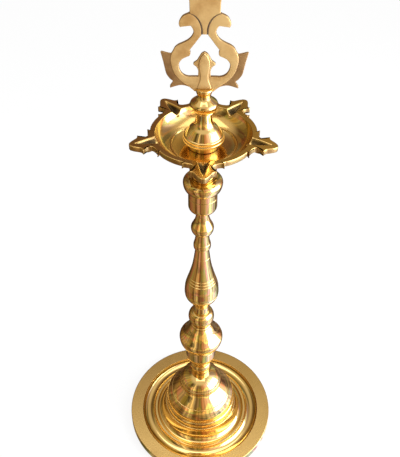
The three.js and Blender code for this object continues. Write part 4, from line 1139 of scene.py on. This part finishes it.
def make_room_paint():
    """Colours by azimuth, times soft streaks and the muted tints of large cells, and dimmer low down.
    High up they give way to the pale ceiling."""
    material, tree, shader = paint("room_paint")
    place = add(tree, "ShaderNodeTexCoord").outputs["Object"]
    tree.nodes.remove(shader)
    height = upward(tree, place)
    flat = calc_vector(tree, "MULTIPLY", place, (1, 1, 0))
    way = calc_vector(tree, "NORMALIZE", flat)
    parts = add(tree, "ShaderNodeSeparateXYZ", {0: way}).outputs
    azimuth = calc(tree, "ARCTAN2", parts["X"], calc(tree, "MULTIPLY", parts["Y"], -1.0))
    ramp = add(tree, "ShaderNodeValToRGB", {"Fac": ranged(tree, azimuth, -math.pi, math.pi)})
    ramp.color_ramp.interpolation = "EASE"
    stops = ramp.color_ramp.elements
    stops.remove(stops[-1])
    for number, (degrees, colour) in enumerate(ROOM_COLOURS):
        stop = stops.new((degrees + 180) / 360) if number else stops[0]
        stop.color = (*colour, 1)
    streaks = ranged(tree, noise(tree, way, 9.0, 2.0), 0.35, 0.65, 0.65, 1.35, eased=True)
    level = calc(tree, "MULTIPLY", streaks, ranged(tree, height, 0, ROOM_FLOOR_TOP, ROOM_FLOOR_LEVEL))
    away = calc(tree, "LOGARITHM", calc_vector(tree, "LENGTH", flat), 2.72)
    spot = add(tree, "ShaderNodeCombineXYZ", {"X": parts["X"], "Y": parts["Y"],
                                              "Z": calc(tree, "MULTIPLY_ADD", height, 0.6, away)})
    cells = add(tree, "ShaderNodeTexVoronoi", {"Vector": spot.outputs[0], "Scale": 3.0})
    muted = add(tree, "ShaderNodeHueSaturation", {"Color": cells.outputs["Color"], "Saturation": 0.4})
    tint = calc_vector(tree, "MULTIPLY_ADD", muted.outputs["Color"], (1.7, 1.7, 1.7), (0.12, 0.12, 0.12))
    tinted = calc_vector(tree, "MULTIPLY", ramp.outputs["Color"], tint)
    walls = calc_vector(tree, "MULTIPLY", tinted, level)
    up = ranged(tree, height, CEILING_FOOT, CEILING_TOP, eased=True)
    glow = add(tree, "ShaderNodeEmission", {"Color": mix(tree, up, walls, (*CEILING_COLOUR, 1)),
                                            "Strength": 1.0})
    feed(tree.nodes["Material Output"], {"Surface": glow.outputs[0]})
    return material


def room_piece(name, points, material):
    """A sheet of the room, over a grid of points, that only metal sees."""
    sheet = linked(name, grid_mesh(name, points))
    sheet.data.materials.append(material)
    sheet.visible_camera = sheet.visible_diffuse = sheet.visible_shadow = False


make_camera()
make_floor()
make_world()
make_lamp("window", (1.15, -0.35, 0.62), (0, 0, 0.4), (1.3, 1.2), 26)
make_lamp("overhead", (0.0, 0.2, 2.6), (0, 0, 0.3), (1.6, 1.6), 12)
room_paint = make_room_paint()
turn = np.linspace(-math.pi, math.pi, 121)
ring = np.stack([np.sin(turn), -np.cos(turn), 0 * turn], axis=-1)
lift = np.linspace(0, 0.49 * math.pi, 25)[:, None, None]
floor_rings = np.stack([ring * ROOM_FLOOR_INNER, ring * ROOM_RADIUS])
dome_rings = ROOM_RADIUS * (ring * np.cos(lift) + (0, 0, 1) * np.sin(lift))
room_piece("room_floor", floor_rings + (0, 0, ROOM_FOOT), room_paint)
room_piece("room_dome", dome_rings + (0, 0, ROOM_FOOT), room_paint)

bpy.context.scene.view_settings.view_transform = "Standard"
